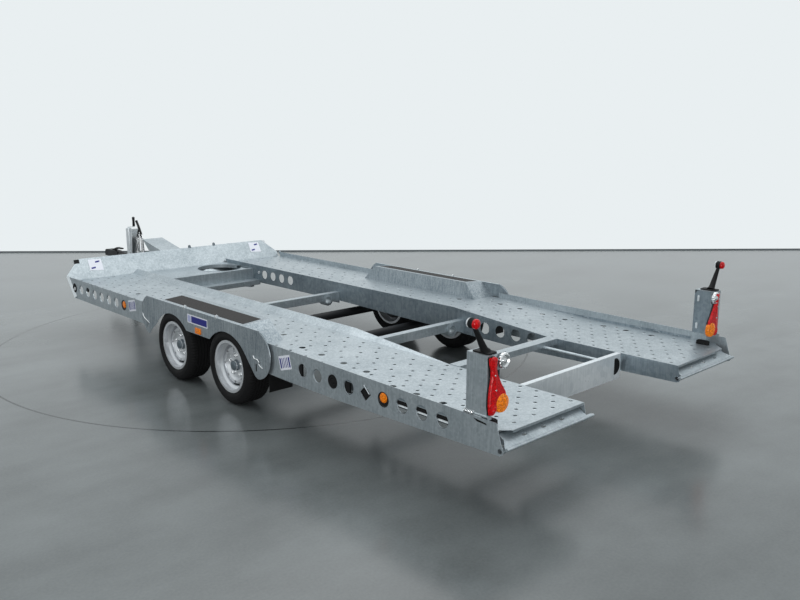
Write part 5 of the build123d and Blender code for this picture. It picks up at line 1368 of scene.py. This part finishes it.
def headboard_bands():
    """Plain bands across those cards."""
    corners = ((-22.0, -9.0), (20.0, -4.0), (22.0, 9.0), (-18.0, 5.0))
    return joined([
        plate(on_headboard(x + u, HEADBOARD_CARD_Z + v, corners, 2.0), (0, -0.5, 0), 0.15)
        for x in HEADBOARD_CARDS for u, v in ((-26.0, -26.0), (24.0, 24.0))])


def headboard_clips():
    """Small bent clips on the headboard's upper edge."""
    corners = ((-16, 2456, 640), (16, 2456, 640), (14, 2466, 662), (-14, 2466, 662))
    bend = ((-12, 2464, 660), (0, 2468, 668), (12, 2464, 660))
    meshes = []
    for x in HEADBOARD_CLIPS:
        meshes.append(plate([at(x + u, y, z) for u, y, z in corners], (0, 4.0, 0), 0.8))
        meshes.append(rod([at(x + u, y, z) for u, y, z in bend], 3.0, 8))
    return joined(meshes)


def marker_bezel():
    """Black back of the white lamp outside the headboard's corner."""
    low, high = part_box("front_lamps")
    x0, x1 = low.x - 0.002, low.x + 0.046
    y0, y1 = low.y - 0.003, low.y + 0.016
    z0, z1 = low.z - 0.003, high.z + 0.003
    corners = ((x0, y0, z0), (x1, y0, z0), (x1, y1, z1), (x0, y1, z1))
    return plate([Vector(p) for p in corners], (0, 8.0, 0), 1.5)


class TRANSPORTER_OT_front_fittings(bpy.types.Operator):
    """Make the grips at the drawbar and the fittings on the headboard"""
    bl_idname = "transporter.front_fittings"
    bl_label = "Front fittings"

    def execute(self, context):
        piece("headboard_labels", headboard_labels(), "chassis", "label", "clear_lens")
        piece("headboard_label_bands", headboard_bands(), "chassis", "label_band", "clear_lens")
        piece("headboard_clips", headboard_clips(), "chassis", "dull_steel", smooth=True)
        piece("marker_bezel_left", marker_bezel(), "chassis", "black_plastic", "black_rubber")
        piece("lever_grip", lever_grip(), "chassis", "black_plastic", "black_rubber", smooth=True)
        piece("winder_grip", winder_grip(), "chassis", "black_plastic", "black_rubber", smooth=True)
        return {"FINISHED"}


# ---- stage -------------------------------------------------------------------------------

CAMERA_PLACE = (-3831.1, -4895.4, 1784.4)    # millimetres, lengthwise from midway between the axles
CAMERA_YAW = 43.1967          # degrees from the travel direction towards the trailer's right
CAMERA_PITCH = -11.7676
CAMERA_ROLL = 0.069
CAMERA_LENS = 36.014          # millimetres on a 36 mm sensor
SENSOR_WIDTH = 36.0
ROUND_JOINT = (40.0, 928.0, 2274.0)    # centre and radius of a round joint in the floor
JOINT_HALVES = (5.0 * MM, 10.0 * MM)   # half its width, where it starts and stops fading
FLOOR_SPREAD = (0.36, 0.64)
FLOOR_EDGE = ((90.0, 8010.0), (9240.0, -40.0))    # two points on the floor's far edge
FLOOR_REACH, FLOOR_DEPTH, WALL_SHADOW_HEIGHT = 18.0, 34.0, 0.018    # metres


def floor_material():
    """Power-floated concrete with a sealer: cloudy grey with trowel sweeps and soft, blurred
    reflections, and one narrow round joint sawn into it."""
    colours = bpy.context.scene.transporter_colour
    made, tree, shader, place = blank("sealed_concrete_floor")
    clouds = noise(tree, place, 1100.0, 8.0, Roughness=0.62)
    swept = node(tree, "Mapping", {"Vector": place, "Rotation": (0.0, 0.0, 0.7), "Scale": (0.35, 1.0, 1.0)})
    sweeps = noise(tree, swept.outputs[0], 420.0, 5.0, Distortion=0.15)
    tones = blend(tree, 0.42, clouds, sweeps)
    spread = remap(tree, blend(tree, 0.14, tones, noise(tree, place, 14.0, 3.0)), *FLOOR_SPREAD)
    shade = tinted(tree, spread, solid(colours.floor, 0.66), solid(colours.floor, 1.26))
    away = node(tree, "VectorMath", {0: place, 1: at(*ROUND_JOINT[:2], 0.0)}, operation="DISTANCE")
    off = node(tree, "Math", {0: away.outputs["Value"], 1: ROUND_JOINT[2] * MM}, operation="SUBTRACT")
    gap = node(tree, "Math", {0: off.outputs[0]}, operation="ABSOLUTE")
    line = remap(tree, gap.outputs[0], *JOINT_HALVES, 1.0, 0.0)
    fill(tree, shader, {
        "Base Color": tinted(tree, line, shade, solid(colours.floor_cut)),
        "Roughness": remap(tree, tones, to_low=0.12, to_high=0.28)})
    return made


def wall_foot_shadow_material():
    """Painted shadow at the foot of the wall: a dark grey strip, patchy in tone."""
    colours = bpy.context.scene.transporter_colour
    made, tree, shader, place = blank("painted_shadow_at_wall")
    patches = noise(tree, place, 300.0)
    fill(tree, shader, {
        "Base Color": tinted(tree, patches, solid(colours.wall_shadow_dark), solid(colours.wall_shadow_light)),
        "Roughness": 0.8})
    return made


def lay_floor():
    """The floor up to its far edge, and a narrow dark strip standing at that edge as painted shadow at the
    wall's foot.
    """
    left, right = (at(x, y, 0.0) for x, y in FLOOR_EDGE)
    along = (right - left).normalized()
    back = Vector((along.y, -along.x, 0.0))
    if back.dot(at(*CAMERA_PLACE) - left) < 0.0:
        back = -back
    start, end = left - along * FLOOR_REACH, right + along * FLOOR_REACH
    near, rise = back * FLOOR_DEPTH, Vector((0.0, 0.0, WALL_SHADOW_HEIGHT))
    for name, loop, finish in (
            ("floor", (start, end, end + near, start + near), floor_material()),
            ("shadow_strip_at_wall", (start, end, end + rise, start + rise), wall_foot_shadow_material())):
        mesh = bmesh.new()
        mesh.faces.new([mesh.verts.new(c) for c in loop])
        data = bpy.data.meshes.new(name)
        mesh.to_mesh(data)
        mesh.free()
        data.materials.append(finish)
        made = bpy.data.objects.new(name, data)
        bpy.context.scene.collection.objects.link(made)


def light_world():
    """Soft light, brighter from above, and a white wall to the camera and in reflections."""
    colours = bpy.context.scene.transporter_colour
    world = bpy.data.worlds.new("studio")
    bpy.context.scene.world = world
    world.use_nodes = True
    tree = world.node_tree
    tree.nodes.clear()
    direction = node(tree, "TexCoord").outputs["Generated"]
    height = node(tree, "SeparateXYZ", {0: direction}).outputs["Z"]
    level = remap(tree, height, -0.1, 0.9, 0.2, 0.98)
    soft = node(tree, "Background", {"Color": (0.92, 0.96, 1.0, 1.0), "Strength": level})
    wall = node(tree, "Background", {"Color": solid(colours.wall), "Strength": 1.0})
    rays = node(tree, "LightPath")
    seen = node(tree, "Math", {
        0: rays.outputs["Is Camera Ray"], 1: rays.outputs["Is Glossy Ray"]}, operation="ADD")
    through = node(tree, "Math", {
        0: seen.outputs[0], 1: rays.outputs["Is Transmission Ray"]}, operation="ADD", use_clamp=True)
    mixed = node(tree, "MixShader", {0: through.outputs[0], 1: soft.outputs[0], 2: wall.outputs[0]})
    node(tree, "OutputWorld", {"Surface": mixed.outputs[0]})


def hang_lamp(name, place, target, size, watts):
    """A rectangular area light at a place, turned to a target. Metres."""
    data = bpy.data.lights.new(name, "AREA")
    data.shape = "RECTANGLE"
    data.size, data.size_y = size
    data.energy = watts
    made = bpy.data.objects.new(name, data)
    made.location = place
    made.rotation_euler = (Vector(target) - Vector(place)).to_track_quat("-Z", "Y").to_euler()
    bpy.context.scene.collection.objects.link(made)


def set_camera():
    """The camera, standing off the trailer's left rear corner."""
    data = bpy.data.cameras.new("camera")
    data.lens = CAMERA_LENS
    data.sensor_width = SENSOR_WIDTH
    data.clip_end = 100.0
    made = bpy.data.objects.new("camera", data)
    made.location = at(*CAMERA_PLACE)
    aim = Euler((math.radians(90.0 + CAMERA_PITCH), 0.0, math.radians(-CAMERA_YAW))).to_matrix()
    made.rotation_euler = (aim @ Matrix.Rotation(math.radians(CAMERA_ROLL), 3, "Z")).to_euler()
    bpy.context.scene.collection.objects.link(made)
    bpy.context.scene.camera = made


class TRANSPORTER_OT_stage(bpy.types.Operator):
    """Lay the floor and set the light and the camera"""
    bl_idname = "transporter.stage"
    bl_label = "Stage"

    def execute(self, context):
        context.scene.view_settings.view_transform = "Standard"
        lay_floor()
        light_world()
        hang_lamp("overhead_softbox", (1.2, 1.2, 6.5), (1.2, 1.2, 0.0), (11.0, 10.0), 310.0)
        hang_lamp("rear_softbox", (-6.5, -8.2, 1.4), (-0.6, -3.2, 0.6), (3.0, 2.0), 190.0)
        set_camera()
        return {"FINISHED"}


# ---- panel, registering and the run ------------------------------------------------------

OPERATORS = (
    TRANSPORTER_OT_finishes, TRANSPORTER_OT_decks, TRANSPORTER_OT_tyres, TRANSPORTER_OT_wheel_fittings,
    TRANSPORTER_OT_mudguard_fittings, TRANSPORTER_OT_rail_fittings, TRANSPORTER_OT_rear_lamps,
    TRANSPORTER_OT_bay_fittings, TRANSPORTER_OT_front_fittings, TRANSPORTER_OT_stage)


class TRANSPORTER_PT_panel(bpy.types.Panel):
    """Sizes, colours and pieces of the car transporter trailer"""
    bl_idname = "TRANSPORTER_PT_panel"
    bl_label = "Car transporter trailer"
    bl_space_type = "VIEW_3D"
    bl_region_type = "UI"
    bl_category = "Transporter"

    def draw(self, context):
        for name, group in GROUPS.items():
            box = self.layout.box()
            for prop in group.__annotations__:
                box.prop(getattr(context.scene, name), prop)
        for operator in OPERATORS:
            self.layout.operator(operator.bl_idname)


CLASSES = (*GROUPS.values(), *OPERATORS, TRANSPORTER_PT_panel)


def register():
    for cls in CLASSES:
        bpy.utils.register_class(cls)
    for name, group in GROUPS.items():
        setattr(bpy.types.Scene, name, PointerProperty(type=group))


def unregister():
    for name in GROUPS:
        delattr(bpy.types.Scene, name)
    for cls in reversed(CLASSES):
        bpy.utils.unregister_class(cls)


def main():
    register()
    for operator in OPERATORS:
        family, name = operator.bl_idname.split(".")
        getattr(getattr(bpy.ops, family), name)()


if __name__ == "__main__":
    main()
